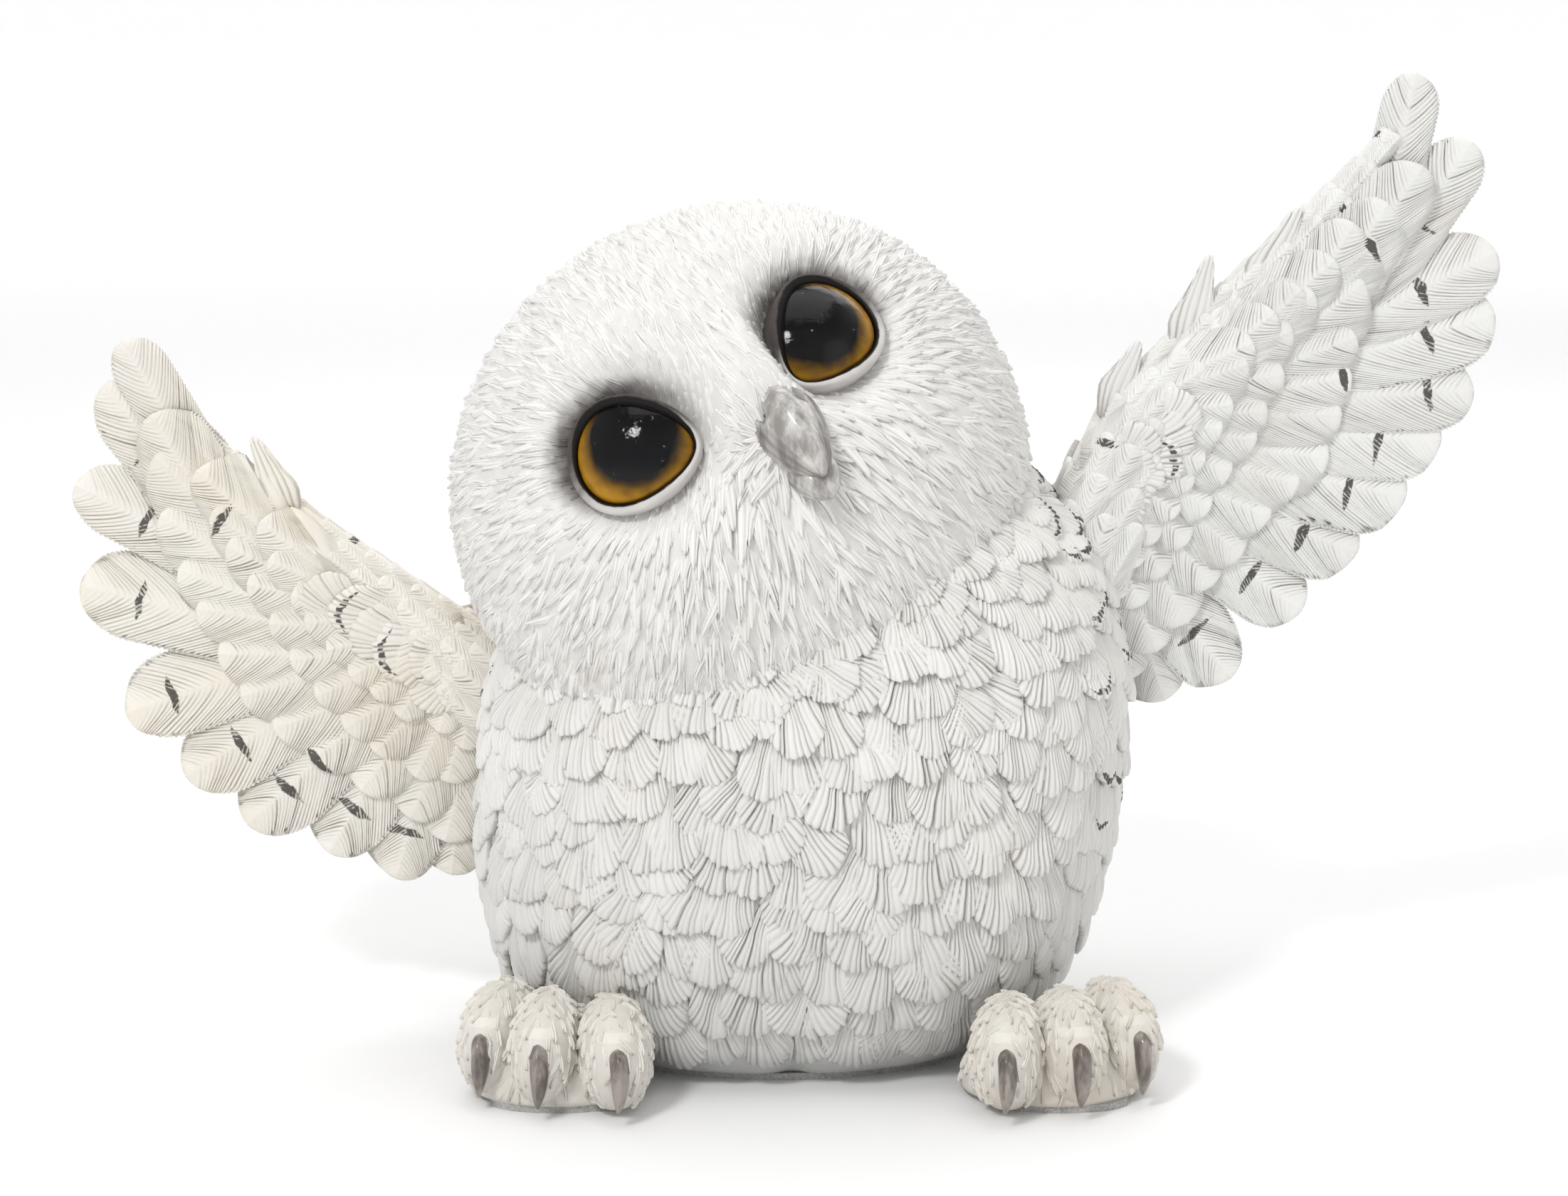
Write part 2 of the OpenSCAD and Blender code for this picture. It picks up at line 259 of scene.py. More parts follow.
class Heap:
    """The vertices, faces and per-vertex numbers of one piece, gathered batch by batch."""
    kinds = ("cavity", "tint", "along", "across", "mark")

    def __init__(self):
        self.batches = []

    def add(self, verts, faces, uv, **numbers):
        """verts (N, V, 3) for N patches that share faces, a list of index arrays; uv (V, 2) from 0 to 1."""
        data = {k: np.broadcast_to(np.asarray(numbers.get(k, 0.0), float), verts.shape[:2])
                for k in self.kinds}
        self.batches.append((verts, faces, uv, data))

    def patches(self, top, up, thick, **numbers):
        """Closed patches with a grid on top, thick deep at the rim and flat below; top, up (N, R, C, 3)."""
        n, rows, cols = top.shape[:3]
        rim, flat = rim_of(rows, cols), top.reshape(n, -1, 3)
        low = flat[:, rim] - up.reshape(n, -1, 3)[:, rim] * np.reshape(thick, (-1, 1, 1))
        mid = low.mean(1, keepdims=True)
        size, p = rows * cols, len(rim)
        i, j = np.arange(p), np.roll(np.arange(p), -1)
        wall = np.stack([rim[i], size + i, size + j, rim[j]], -1)
        floor = np.stack([np.full(p, size + p), size + j, size + i], -1)
        v, u = np.meshgrid(np.linspace(0.06, 1, rows), np.linspace(0, 1, cols), indexing="ij")
        uv = np.vstack([np.stack([u.ravel(), v.ravel()], -1), np.tile([0.5, 0.02], (p + 1, 1))])
        numbers = {k: self.with_rim(a, rim, k) for k, a in numbers.items()}
        self.add(np.concatenate([flat, low, mid], 1), [grid_faces(rows, cols), wall, floor], uv, **numbers)

    @staticmethod
    def with_rim(a, rim, kind):
        a = np.asarray(a, float)
        if a.ndim < 3:
            return a.reshape(-1, 1) if a.ndim else a
        flat = a.reshape(len(a), -1)
        low = flat[:, rim]
        # The walls and floor of each patch get painted shade: their cavity number is at least 0.8.
        if kind == "cavity":
            low = np.maximum(low, 0.8)
        return np.concatenate([flat, low, low[:, :1]], 1)

    def blades(self, top, bottom, **numbers):
        """Closed patches with a grid on both faces."""
        n, rows, cols = top.shape[:3]
        rim, size = rim_of(rows, cols), rows * cols
        i, j = rim, np.roll(rim, -1)
        wall = np.stack([i, size + i, size + j, j], -1)
        v, u = np.meshgrid(np.linspace(0.02, 0.98, rows), np.linspace(0, 0.48, cols), indexing="ij")
        uv = np.stack([u.ravel(), v.ravel()], -1)
        for k, a in numbers.items():
            a = np.asarray(a, float)
            numbers[k] = a.reshape(-1, 1) if a.ndim == 1 else np.concatenate([a.reshape(len(a), -1)] * 2, 1)
        self.add(np.concatenate([top.reshape(n, -1, 3), bottom.reshape(n, -1, 3)], 1),
                 [grid_faces(rows, cols), grid_faces(rows, cols, True) + size, wall],
                 np.vstack([uv, uv + [0.5, 0]]), **numbers)

    def pieces(self, name, node, slot, material):
        """Makes the meshes, each with fewer faces than the exporter takes whole."""
        jobs, room = [[]], FACES_A_PIECE
        for verts, faces, uv, data in self.batches:
            each = sum(len(f) * (f.shape[1] - 2) for f in faces)
            at = 0
            while at < len(verts):
                if room < each and jobs[-1]:
                    jobs.append([])
                    room = FACES_A_PIECE
                take = max(1, min(len(verts) - at, room // each))
                part = slice(at, at + take)
                jobs[-1].append((verts[part], faces, uv, {k: a[part] for k, a in data.items()}))
                at, room = at + take, room - take * each
        for number, job in enumerate(jobs, 1):
            if job:
                self.mesh(f"{name}_{number}" if len(jobs) > 1 else name, job, node, slot, material)

    def mesh(self, name, job, node, slot, material):
        side = math.ceil(math.sqrt(sum(len(v) for v, *_ in job)))
        all_verts, corners, counts, all_uv, at, cell = [], [], [], [], 0, 0
        for verts, faces, uv, _ in job:
            n, size = verts.shape[:2]
            cells = cell + np.arange(n)
            places = np.stack([cells % side, cells // side], -1)[:, None] + 0.03 + 0.94 * uv
            start = at + size * np.arange(n)[:, None, None]
            for f in faces:
                corners.append((f + start).reshape(-1))
                counts.append(np.full(n * len(f), f.shape[1]))
            all_verts.append(verts.reshape(-1, 3))
            all_uv.append(places.reshape(-1, 2) / side)
            at, cell = at + n * size, cell + n
        corners, counts, points = np.concatenate(corners), np.concatenate(counts), np.vstack(all_verts)
        mesh = bpy.data.meshes.new(name)
        mesh.vertices.add(len(points))
        mesh.vertices.foreach_set("co", (points * MM).astype(np.float32).ravel())
        mesh.loops.add(len(corners))
        mesh.loops.foreach_set("vertex_index", corners.astype(np.int32))
        mesh.polygons.add(len(counts))
        starts = np.concatenate([[0], np.cumsum(counts)[:-1]])
        mesh.polygons.foreach_set("loop_start", starts.astype(np.int32))
        mesh.polygons.foreach_set("loop_total", counts.astype(np.int32))
        mesh.polygons.foreach_set("use_smooth", np.ones(len(counts), bool))
        mesh.uv_layers.new(name="OFBake").data.foreach_set(
            "uv", np.vstack(all_uv)[corners].astype(np.float32).ravel())
        for kind in self.kinds:
            values = np.concatenate([d[kind].reshape(-1) for *_, d in job]).astype(np.float32)
            mesh.attributes.new(kind, "FLOAT", "POINT").data.foreach_set("value", values)
        mesh.update(calc_edges=True)
        mesh.validate()
        put(name, mesh, node, material)


def show(name, data):
    """A new object in the scene."""
    thing = bpy.data.objects.new(name, data)
    bpy.context.scene.collection.objects.link(thing)
    return thing


def put(name, mesh, node, material):
    """Adds a finished piece that stands for a node."""
    mesh.materials.append(material)
    piece = show(name, mesh)
    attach(piece, "root")
    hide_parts(node)


# ---------------------------------------------------------------- feathers and tufts

FAN_ROWS = np.array([0, 0.22, 0.4, 0.55, 0.68, 0.8, 0.9, 0.965, 1.0])
TUFT_ROWS = np.array([0, 0.2, 0.42, 0.62, 0.8, 0.93, 1.0])


def grooved(n, grooves, uneven, profile, shallow, deep, cracked, crack):
    """Columns of n feathers, four to a groove, as deep as profile times a random cut for each groove.
    Returns where each column is, from -1 to 1, its depth, and which groove it is in."""
    edges = np.cumsum(np.hstack([np.zeros((n, 1)), rng.uniform(1 - uneven, 1 + uneven, (n, grooves))]), 1)
    edges = 2 * edges / edges[:, -1:] - 1
    column = np.arange(4 * grooves + 1)
    left = np.minimum(column // 4, grooves - 1)
    t = edges[:, left] + (column / 4 - left) * (edges[:, left + 1] - edges[:, left])
    cut = rng.uniform(shallow, deep, (n, grooves + 1))
    cut[rng.random(cut.shape) < cracked] = crack
    valley = np.asarray(profile)[column % 4] * cut[:, np.round(column / 4).astype(int)]
    return t[:, None, :], valley[:, None, :], left


def upright(*values):
    """One number for each feather, shaped to go with its rows and columns."""
    return [np.asarray(v)[:, None, None] for v in values]


def each(low, high, n):
    """A random number for each feather, shaped to go with its rows and columns."""
    return rng.uniform(low, high, (n, 1, 1))


def scales(length, width, grooves, rows=TUFT_ROWS, curl=0.25, depth=0.3, arch=0.1, tip=0.62):
    """Tufts with grooves that spread from the root: x across, y to the tip, z up, N at once.
    tip 0 is a broad round end and 1 a point. Returns points (N, R, C, 3) and each one's groove depth."""
    n, ragged, profile = len(length), 0.02, np.array([1, 0.2, 0, 0.2])
    length, width = upright(length, width)
    t, valley, left = grooved(n, grooves, 0.4, profile, 0.5, 1.1, 0.09, 2.1)
    low = 1.2 * profile[np.arange(t.shape[2]) % 4]
    reach = 1 + ragged * (rng.uniform(-1, 0.6, (n, grooves))[:, left] - low)[:, None, :]
    s = rows[None, :, None]
    round_off = (1 - np.sqrt(1 - 0.96 * t ** 2)) / 0.8
    point = (0.3 + 0.9 * s ** 0.6) * (1 - smooth((s - 0.35) / 0.7))
    fan = (0.42 + 0.58 * s ** 0.8) * (1 - tip) + tip * point + 0.03
    sway = 0.12 * each(-1, 1, n) * s ** 2
    x = width / 2 * (t * fan + sway + 0.02 * np.sin(7 * s + each(0, 6, n)) * (1 - t ** 2))
    y = length * s * (1 - curl * round_off * s) * (1 + (reach - 1) * s ** 3)
    end = np.clip((s - 0.88) / 0.12, 0, 1)
    z = -arch * width * t ** 2 - depth * valley * smooth(s / 0.25) - 0.22 * end ** 2
    return np.stack([x + 0 * y, y + 0 * x, z + 0 * x], -1), np.clip(valley + 0 * x, 0, 1.3)


def fans(length, width, depth=0.5):
    """Shell-shaped feathers with rounded ridges that bend outwards from the root, N at once.
    Returns points (N, R, C, 3), how deep in a groove each is, and how far each is from the rim."""
    n, grooves, arch = len(length), 13, 0.04
    length, width = upright(length, width)
    t, valley, left = grooved(n, grooves, 0.45, [1, 0.3, 0, 0.3], 0.4, 1.15, 0.08, 1.8)
    s = FAN_ROWS[None, :, None]
    sway = each(-0.9, 0.9, n)
    turn, squat = 1.5 * t, each(0.85, 1.2, n)
    wobble = 0.025 * rng.uniform(-1, 1, (n, grooves))[:, left][:, None, :] - 0.02 * valley
    ripple = 0.035 * np.sin(11 * s + 4 * t + each(0, 6, n)) * (1 - t ** 2) * smooth((1.05 - s) / 0.5)
    root, middle = 0.6 * t - 0.5 * sway, 0.5 * t + 0.45 * t ** 3 - 0.16 * sway
    x = width / 2 * (ripple + (1 - s) ** 2 * root + 2 * s * (1 - s) * middle + s ** 2 * np.sin(turn))
    end = length * (1 + wobble) - squat * width / 2 * (1 - np.cos(turn))
    y = 2 * s * (1 - s) * 0.62 * length * (1 - 0.25 * t ** 2) + s ** 2 * end
    lip = np.clip((s - 0.85) / 0.15, 0, 1)
    z = (-arch * width * t ** 2 - depth * valley * smooth(s / 0.25) * (1 - 0.2 * lip) - 0.32 * lip ** 2
         + each(0.1, 0.4, n) * bell((s - 0.78) / 0.22) + each(-0.06, 0.06, n) * x)
    return np.stack([x, y, z + 0 * x], -1), np.clip(valley + 0 * x, 0, 1.3), (1 - s) * length + 0 * x


def plumes(length, width, pitch, depth=0.24, shaft=0.3, round_end=1.25):
    """Long feathers with a raised shaft and barbs that slant out from it, laid out as in scales.
    They share a row count, so their lengths are alike. Returns points and how deep in a groove each is."""
    n, barbs = len(length), int(np.mean(length) / pitch)
    length, width = upright(length, width)
    rows = 4 * barbs + 1
    number = np.arange(rows) / 4
    ridge = np.array([0, 0.75, 1, 0.75])[np.arange(rows) % 4]
    cut = rng.uniform(0.5, 1.1, (n, barbs + 1))
    cut[rng.random(cut.shape) < 0.06] = 1.7
    b = (number / barbs)[None, :, None]
    valley = ((1 - ridge) * cut[:, np.round(number).astype(int)])[:, :, None]
    valley = valley * (0.15 + 0.85 * smooth((0.97 - b) / 0.16))
    u = np.array([-1, -0.82, -0.58, -0.32, -0.1, 0, 0.1, 0.32, 0.58, 0.82, 1])[None, None, :]
    au = np.abs(u)
    edge = b + 2.2 * (width / 2 / length) * (1 - b) ** 0.45 * smooth(b / 0.1)
    edge = np.minimum(edge, 1 - 0.25 * (1 - b))
    taper = np.clip(1 - (1 - edge) * length / (round_end * width / 2), 0, 1)
    half = width / 2 * (0.5 + 0.5 * smooth(edge / 0.4)) * np.sqrt(np.clip(1 - taper ** 2.1, 0.0004, 1))
    notch = 1 - 0.1 * np.clip(valley, 0, 2) * au ** 4
    x = u * half * notch
    bow = each(-0.04, 0.04, n) * length * (b ** 2)
    y = length * (b + (edge - b) * au ** 1.25 * (1 + 0.18 * np.sign(u) * (1 - b)))
    z = (shaft * bell(u / 0.09) * (1 - 0.7 * b) - 0.045 * width * au ** 2 - depth * valley * smooth(au / 0.15)
         - 0.25 * smooth((au - 0.8) / 0.2) - 0.25 * smooth((b - 0.97) / 0.03))
    return np.stack([x + bow, y + 0 * x, z + 0 * x], -1), np.clip(valley * smooth(au / 0.2) + 0 * x, 0, 1.3)


def axes_at(surface, at, heading, out):
    """Tangents across and along heading on a surface, and its outward normal."""
    across = unit(np.cross(heading, out))
    step = 0.3
    dx = surface(at + step * across) - surface(at - step * across)
    dy = surface(at + step * heading) - surface(at - step * heading)
    return across, unit(dy), unit(np.cross(dx, dy))


def lay(surface, tip, heading, out, local, root_up, tip_up):
    """Bends feathers onto a surface with their tips at tip; root_up and tip_up are heights above it.
    tip, heading and out are (N, 3) and local (N, R, C, 3). Returns the points and the normals there."""
    wide = (slice(None), None, None)
    at = surface(tip)
    across, along, _ = axes_at(surface, at, unit(heading), out)
    across = unit(np.cross(along, out))
    end = local[:, -1, local.shape[2] // 2, 1][wide]
    flat = at[wide] + across[wide] * local[..., :1] + along[wide] * (local[..., 1:2] - end[..., None])
    base = surface(flat)
    _, _, up = axes_at(surface, base, along[wide] + 0 * base, out[wide] + 0 * base)
    root_up, tip_up = (np.broadcast_to(np.asarray(a, float), (len(tip),))[wide] for a in (root_up, tip_up))
    rise = root_up + (tip_up - root_up) * np.clip(local[..., 1] / end, 0, 1) ** 1.3
    return base + up * (rise + local[..., 2])[..., None], up


def feather_numbers(local, cavity, mark=NO_STROKE, along=None):
    """What the paint needs: groove depth with painted shade added towards the root, where the next feather
    covers it, tint, distance from the tip and across, and the stroke's place.
    """
    n = len(local)
    end, mark = upright(local[:, -1, local.shape[2] // 2, 1], np.broadcast_to(mark, n))
    # Painted shade: the part of a feather nearest its root, under the next feather, is darkened.
    root_shade = 0.55 * (1 - smooth(local[..., 1] / end / 0.55))
    return dict(cavity=np.clip(cavity + root_shade, 0, 1.3), tint=each(-1, 1, n) + 0 * cavity,
                along=end - local[..., 1] if along is None else along, across=local[..., 0],
                mark=mark + 0 * cavity)


# ---------------------------------------------------------------- materials

class Paint:
    """A node material; every call to a method adds a node and gives back its output."""

    def __init__(self, name):
        self.material = bpy.data.materials.new(name)
        self.material.use_nodes = True
        self.tree = self.material.node_tree
        self.tree.nodes.clear()
        self.place = self.add("ShaderNodeTexCoord").outputs["Object"]

    def add(self, kind, settings=None, **inputs):
        node = self.tree.nodes.new(kind)
        for key, value in (settings or {}).items():
            setattr(node, key, value)
        for key, value in inputs.items():
            self.feed(node.inputs[int(key[1:]) if key[0] == "_" else key.replace("_", " ")], value)
        return node

    def feed(self, socket, value):
        if isinstance(value, bpy.types.NodeSocket):
            self.tree.links.new(value, socket)
        elif isinstance(value, (tuple, list)) and socket.type == "RGBA" and len(value) == 3:
            socket.default_value = (*value, 1)
        else:
            socket.default_value = value

    def math(self, operation, a, b=0.0, c=0.0, clamp=False):
        settings = {"operation": operation, "use_clamp": clamp}
        return self.add("ShaderNodeMath", settings, _0=a, _1=b, _2=c).outputs[0]

    def plus(self, a, b):
        return self.math("ADD", a, b)

    def times(self, a, b):
        return self.math("MULTIPLY", a, b)

    def axis(self, name):
        """How far along X, Y or Z, in metres."""
        return self.add("ShaderNodeSeparateXYZ", Vector=self.place).outputs[name]

    def number(self, name):
        return self.add("ShaderNodeAttribute", {"attribute_name": name}).outputs["Fac"]

    def noise(self, mm, detail=3.0, at=None, rough=0.5):
        """Noise with features about mm millimetres across."""
        return self.add("ShaderNodeTexNoise", Vector=self.place if at is None else at, Scale=1 / (mm * MM),
                        Detail=detail, Roughness=rough).outputs["Fac"]

    def wander(self, mm, size, detail=3.0):
        """Noise about 0, with features about mm millimetres across, that spreads over size."""
        return self.math("MULTIPLY_ADD", self.noise(mm, detail), size, -size / 2)

    def step(self, value, low, high, start=0.0, end=1.0):
        """Smooth step from start to end as value goes from low to high."""
        return self.add("ShaderNodeMapRange", {"interpolation_type": "SMOOTHSTEP"}, Value=value,
                        From_Min=low, From_Max=high, To_Min=start, To_Max=end).outputs["Result"]

    def mix(self, amount, a, b):
        node = self.add("ShaderNodeMix", {"data_type": "RGBA"})
        for index, value in ((0, amount), (6, a), (7, b)):
            self.feed(node.inputs[index], value)
        return node.outputs[2]

    def bump(self, height, strength, mm, normal=None):
        node = self.add("ShaderNodeBump", Height=height, Strength=strength, Distance=mm * MM)
        if normal is not None:
            self.feed(node.inputs["Normal"], normal)
        return node.outputs["Normal"]

    def finish(self, **inputs):
        shader = self.add("ShaderNodeBsdfPrincipled", **inputs)
        output = self.add("ShaderNodeOutputMaterial")
        self.tree.links.new(shader.outputs[0], output.inputs[0])
        return self.material


INK = (0.05, 0.041, 0.036)


def stroke_mask(p):
    """Where the brush left ink: a tapered band across a feather, on its ridges and not in its grooves."""
    half = 0.6  # half the band's width at its middle, in mm
    wander = p.wander(5, 1.6)
    off = p.math("ABSOLUTE", p.plus(p.math("SUBTRACT", p.number("along"), p.number("mark")), wander))
    aside = p.math("DIVIDE", p.plus(p.number("across"), p.wander(4, 3)), 3.3)
    width = p.math("MULTIPLY_ADD", p.times(aside, aside), -half - 0.1, half)
    width = p.plus(width, p.wander(1.5, 1.1, 4))
    band = p.step(p.math("SUBTRACT", off, width), -0.1, 0.12, 1, 0)
    dry = p.plus(p.number("cavity"), p.wander(0.9, 1.5, 4))
    return p.times(band, p.step(dry, 0.22, 0.55, 0.95, 0.1))


def resin(name, light, warm, wash_and_shade, patches=0.5, wash_and_shade_amount=0.7, extra=None):
    """Matte painted resin: light ridges, warm patches and black strokes, with a thin wash and painted shade
    where the cavity number is high: in the grooves, on undersides and under overlapping feathers.
    """
    p = Paint(name)
    tone = p.mix(p.step(p.noise(16, 4), 0.62 - 0.3 * patches, 0.95 - 0.2 * patches), light, warm)
    tone = p.mix(p.math("MULTIPLY_ADD", p.number("tint"), 0.05, 0.05, True), tone, wash_and_shade)
    # Painted shade with a thin wash: darker by the cavity number.
    speck = p.math("MULTIPLY_ADD", p.noise(1.6, 4), 0.9, 0.35)
    depth = p.math("MULTIPLY", p.step(p.number("cavity"), 0.12, 1.25), speck, clamp=True)
    tone = p.mix(p.times(depth, wash_and_shade_amount), tone, wash_and_shade)
    if extra is not None:
        tone = extra(p, tone)
    tone = p.mix(stroke_mask(p), tone, INK)
    grain = p.noise(0.28, 3)
    rough = p.math("MULTIPLY_ADD", p.noise(2.5, 3), 0.16, 0.48)
    normal = p.bump(grain, 0.35, 0.12, p.bump(p.noise(1.1, 4), 0.3, 0.2))
    return p.finish(Base_Color=tone, Roughness=rough, Normal=normal, Specular_IOR_Level=0.42)


def low_shade_and_bare_rim(p, tone):
    """Painted shade in grey that fades out up the body, and the unpainted grey at its foot."""
    height = p.axis("Z")
    # Painted shade: the lower body is greyer, fading out about 52 mm up.
    wash_and_shade = p.step(p.plus(height, p.wander(14, 0.024)), 0.004, 0.052, 0.5, 0)
    tone = p.mix(wash_and_shade, tone, (0.60, 0.595, 0.58))
    bare = p.step(p.plus(height, p.times(p.noise(6), 0.003)), 0.004, 0.009, 0.75, 0)
    return p.mix(bare, tone, (0.42, 0.42, 0.41))


def painted_eye_socket_shadow(p, tone):
    """Brown-black painted shadow round the eyes, widest above and outside each."""
    for side in (1, -1):
        middle, axes = HEAD.eye_frame(side)
        offset = p.add("ShaderNodeVectorMath", {"operation": "SUBTRACT"}, _0=p.place,
                       _1=tuple(middle * MM)).outputs[0]
        inward, up, out = (p.add("ShaderNodeVectorMath", {"operation": "DOT_PRODUCT"}, _0=offset,
                                 _1=tuple(axes[:, k] / (half * MM))).outputs["Value"]
                           for k, half in ((0, HEAD.eye_a), (1, HEAD.eye_b), (2, 14)))
        flat = p.plus(p.times(inward, inward), p.times(up, up))
        far = p.math("SQRT", p.plus(flat, p.times(out, out)))
        toward = p.math("DIVIDE", p.math("SUBTRACT", p.times(up, 0.6), inward), far)
        strength = p.step(toward, -0.5, 0.9, 0.06, 1.0)
        edge = p.math("SUBTRACT", far, p.times(strength, 0.26))
        edge = p.plus(edge, p.wander(2, 0.3))
        shade = p.times(p.step(edge, 0.92, 1.42, 1, 0), p.math("MULTIPLY_ADD", strength, 0.7, 0.22))
        tone = p.mix(shade, tone, (0.05, 0.036, 0.031))
    return tone


def iris():
    """Amber with a soft black pupil; along is the distance from the pupil's middle, across from the rim."""
    p = Paint("iris_paint")
    amber = p.mix(p.step(p.noise(2.5, 4), 0.3, 0.7), (0.27, 0.12, 0.001), (0.52, 0.25, 0.002))
    ragged = p.plus(p.number("along"), p.wander(1.4, 0.8))
    tone = p.mix(p.step(ragged, 5.5, 8.0, 1, 0), amber, (0.002, 0.002, 0.003))
    tone = p.mix(p.step(p.number("across"), 0.25, 0.8, 1, 0), tone, (0.01, 0.006, 0.004))
    bubbles = p.step(p.noise(0.5, 2), 0.735, 0.76)
    tone = p.mix(p.times(bubbles, 0.5), tone, (0.5, 0.5, 0.5))
    normal = p.bump(p.noise(1.0, 3), 0.4, 0.22, p.bump(p.noise(2.6, 2), 0.35, 0.5))
    return p.finish(Base_Color=tone, Roughness=0.03, Normal=normal, Specular_IOR_Level=0.2)


def clear():
    p = Paint("clear_resin")
    return p.finish(Base_Color=(0.02, 0.02, 0.02), Roughness=0.03, Specular_IOR_Level=0.5,
                    Alpha=p.math("MULTIPLY_ADD", p.noise(1.5), 0.03, 0.04))


def putty():
    """Smooth grey lid, brown-black above as painted shade, with a dark line at the lens; across is the
    distance from it.
    """
    p = Paint("eyelid_putty")
    tone = p.mix(p.noise(3, 3), (0.46, 0.44, 0.42), (0.70, 0.68, 0.66))
    # Painted shade: the tint number darkens the lid above and on its outer side.
    shade = p.plus(p.number("tint"), p.wander(2, 0.5))
    tone = p.mix(p.step(shade, 0.05, 0.75, 0, 0.93), tone, (0.035, 0.026, 0.023))
    line = p.plus(p.number("across"), p.wander(1.2, 0.3))
    tone = p.mix(p.step(line, 0.25, 0.5, 1, 0), tone, (0.008, 0.006, 0.006))
    normal = p.bump(p.noise(0.5, 3), 0.2, 0.15)
    return p.finish(Base_Color=tone, Roughness=0.5, Normal=normal, Specular_IOR_Level=0.2)


def horn(name, light, dark, gloss):
    """Marbled grey horn, as painted on the beak and claws, darkened by the cavity number as painted shade."""
    p = Paint(name)
    flow = p.add("ShaderNodeMapping", Vector=p.place, Scale=(1, 1, 0.35)).outputs[0]
    tone = p.mix(p.step(p.noise(2.2, 5, flow, 0.6), 0.36, 0.66), dark, light)
    # Painted shade where the cavity number is high.
    tone = p.mix(p.step(p.number("cavity"), 0.2, 1.0, 0, 0.8), tone, (0.09, 0.075, 0.065))
    normal = p.bump(p.noise(0.9, 4, flow), 0.3, 0.2)
    return p.finish(Base_Color=tone, Roughness=gloss, Normal=normal, Coat_Weight=0.4, Coat_Roughness=0.18)


def fibrous(name, colour):
    """Felt: short tangled fibres."""
    p = Paint(name)
    tangle = p.noise(0.35, 5, rough=0.7)
    tone = p.mix(p.step(tangle, 0.3, 0.7), tuple(0.55 * c for c in colour), colour)
    return p.finish(Base_Color=tone, Roughness=0.95, Normal=p.bump(tangle, 0.8, 0.3))


def steel():
    p = Paint("pin_steel")
    lines = p.noise(0.5, 4)
    return p.finish(Base_Color=p.mix(lines, (0.42, 0.42, 0.43), (0.62, 0.62, 0.62)), Metallic=1.0,
                    Roughness=p.math("MULTIPLY_ADD", lines, 0.2, 0.25))


def rubber():
    p = Paint("plug_rubber")
    return p.finish(Base_Color=p.mix(p.noise(2, 3), (0.02, 0.02, 0.02), (0.05, 0.05, 0.05)), Roughness=0.7,
                    Normal=p.bump(p.noise(0.4, 3), 0.3, 0.1))


WASH_AND_SHADE = (0.27, 0.24, 0.205)
BODY_PAINT = resin("body_resin", (0.83, 0.82, 0.79), (0.82, 0.78, 0.71), WASH_AND_SHADE, patches=0.25, extra=low_shade_and_bare_rim)
HEAD_PAINT = resin("head_resin", (0.86, 0.85, 0.83), (0.84, 0.81, 0.76), (0.33, 0.29, 0.25),
                   patches=0.2, wash_and_shade_amount=0.62, extra=painted_eye_socket_shadow)
LEFT_WING_PAINT = resin("left_wing_resin", (0.83, 0.825, 0.80), (0.80, 0.76, 0.68), WASH_AND_SHADE,
                        patches=0.25, wash_and_shade_amount=0.72)
RIGHT_WING_PAINT = resin("right_wing_resin", (0.83, 0.80, 0.74), (0.80, 0.74, 0.63), (0.29, 0.25, 0.20),
                         patches=0.7, wash_and_shade_amount=0.72)
FOOT_PAINT = resin("foot_resin", (0.80, 0.77, 0.71), (0.78, 0.69, 0.58), (0.24, 0.20, 0.165), wash_and_shade_amount=0.85)
BEAK_PAINT = horn("beak_resin", (0.66, 0.64, 0.61), (0.26, 0.245, 0.23), 0.24)
CLAW_PAINT = horn("claw_resin", (0.34, 0.30, 0.265), (0.10, 0.08, 0.065), 0.28)


# ---------------------------------------------------------------- body

def rings_piece(rings, name, node, slot, material, **numbers):
    """A closed skin through rings of points (R, C, 3), from the lowest ring to the highest."""
    rows, cols = rings.shape[:2]
    index = np.arange(rows * cols).reshape(rows, cols)
    nxt = np.roll(index, -1, axis=1)
    skin = np.stack([index[:-1], nxt[:-1], nxt[1:], index[1:]], -1).reshape(-1, 4)
    low, high = rows * cols, rows * cols + 1
    bottom = np.stack([np.full(cols, low), nxt[0], index[0]], -1)
    top = np.stack([np.full(cols, high), index[-1], nxt[-1]], -1)
    points = np.vstack([rings.reshape(-1, 3), rings[0].mean(0), rings[-1].mean(0)]) * MM
    mesh = bpy.data.meshes.new(name)
    mesh.from_pydata(points.tolist(), [], skin.tolist() + bottom.tolist() + top.tolist())
    mesh.polygons.foreach_set("use_smooth", np.ones(len(mesh.polygons), bool))
    for kind in Heap.kinds:
        values = np.asarray(numbers.get(kind, NO_STROKE if kind == "mark" else 0.0), float)
        if values.ndim == 2:
            values = np.concatenate([values.reshape(-1), [values[0].mean(), values[-1].mean()]])
        mesh.attributes.new(kind, "FLOAT", "POINT").data.foreach_set(
            "value", np.broadcast_to(values, len(points)).astype(np.float32))
    put(name, mesh, node, material)


def around_body(angle, z, height):
    """Points outside the body at an angle from its front, for BODY to bring onto its surface."""
    return np.stack([BODY.middle(z) + 40 * np.sin(angle), -32 * np.cos(angle), height], -1)


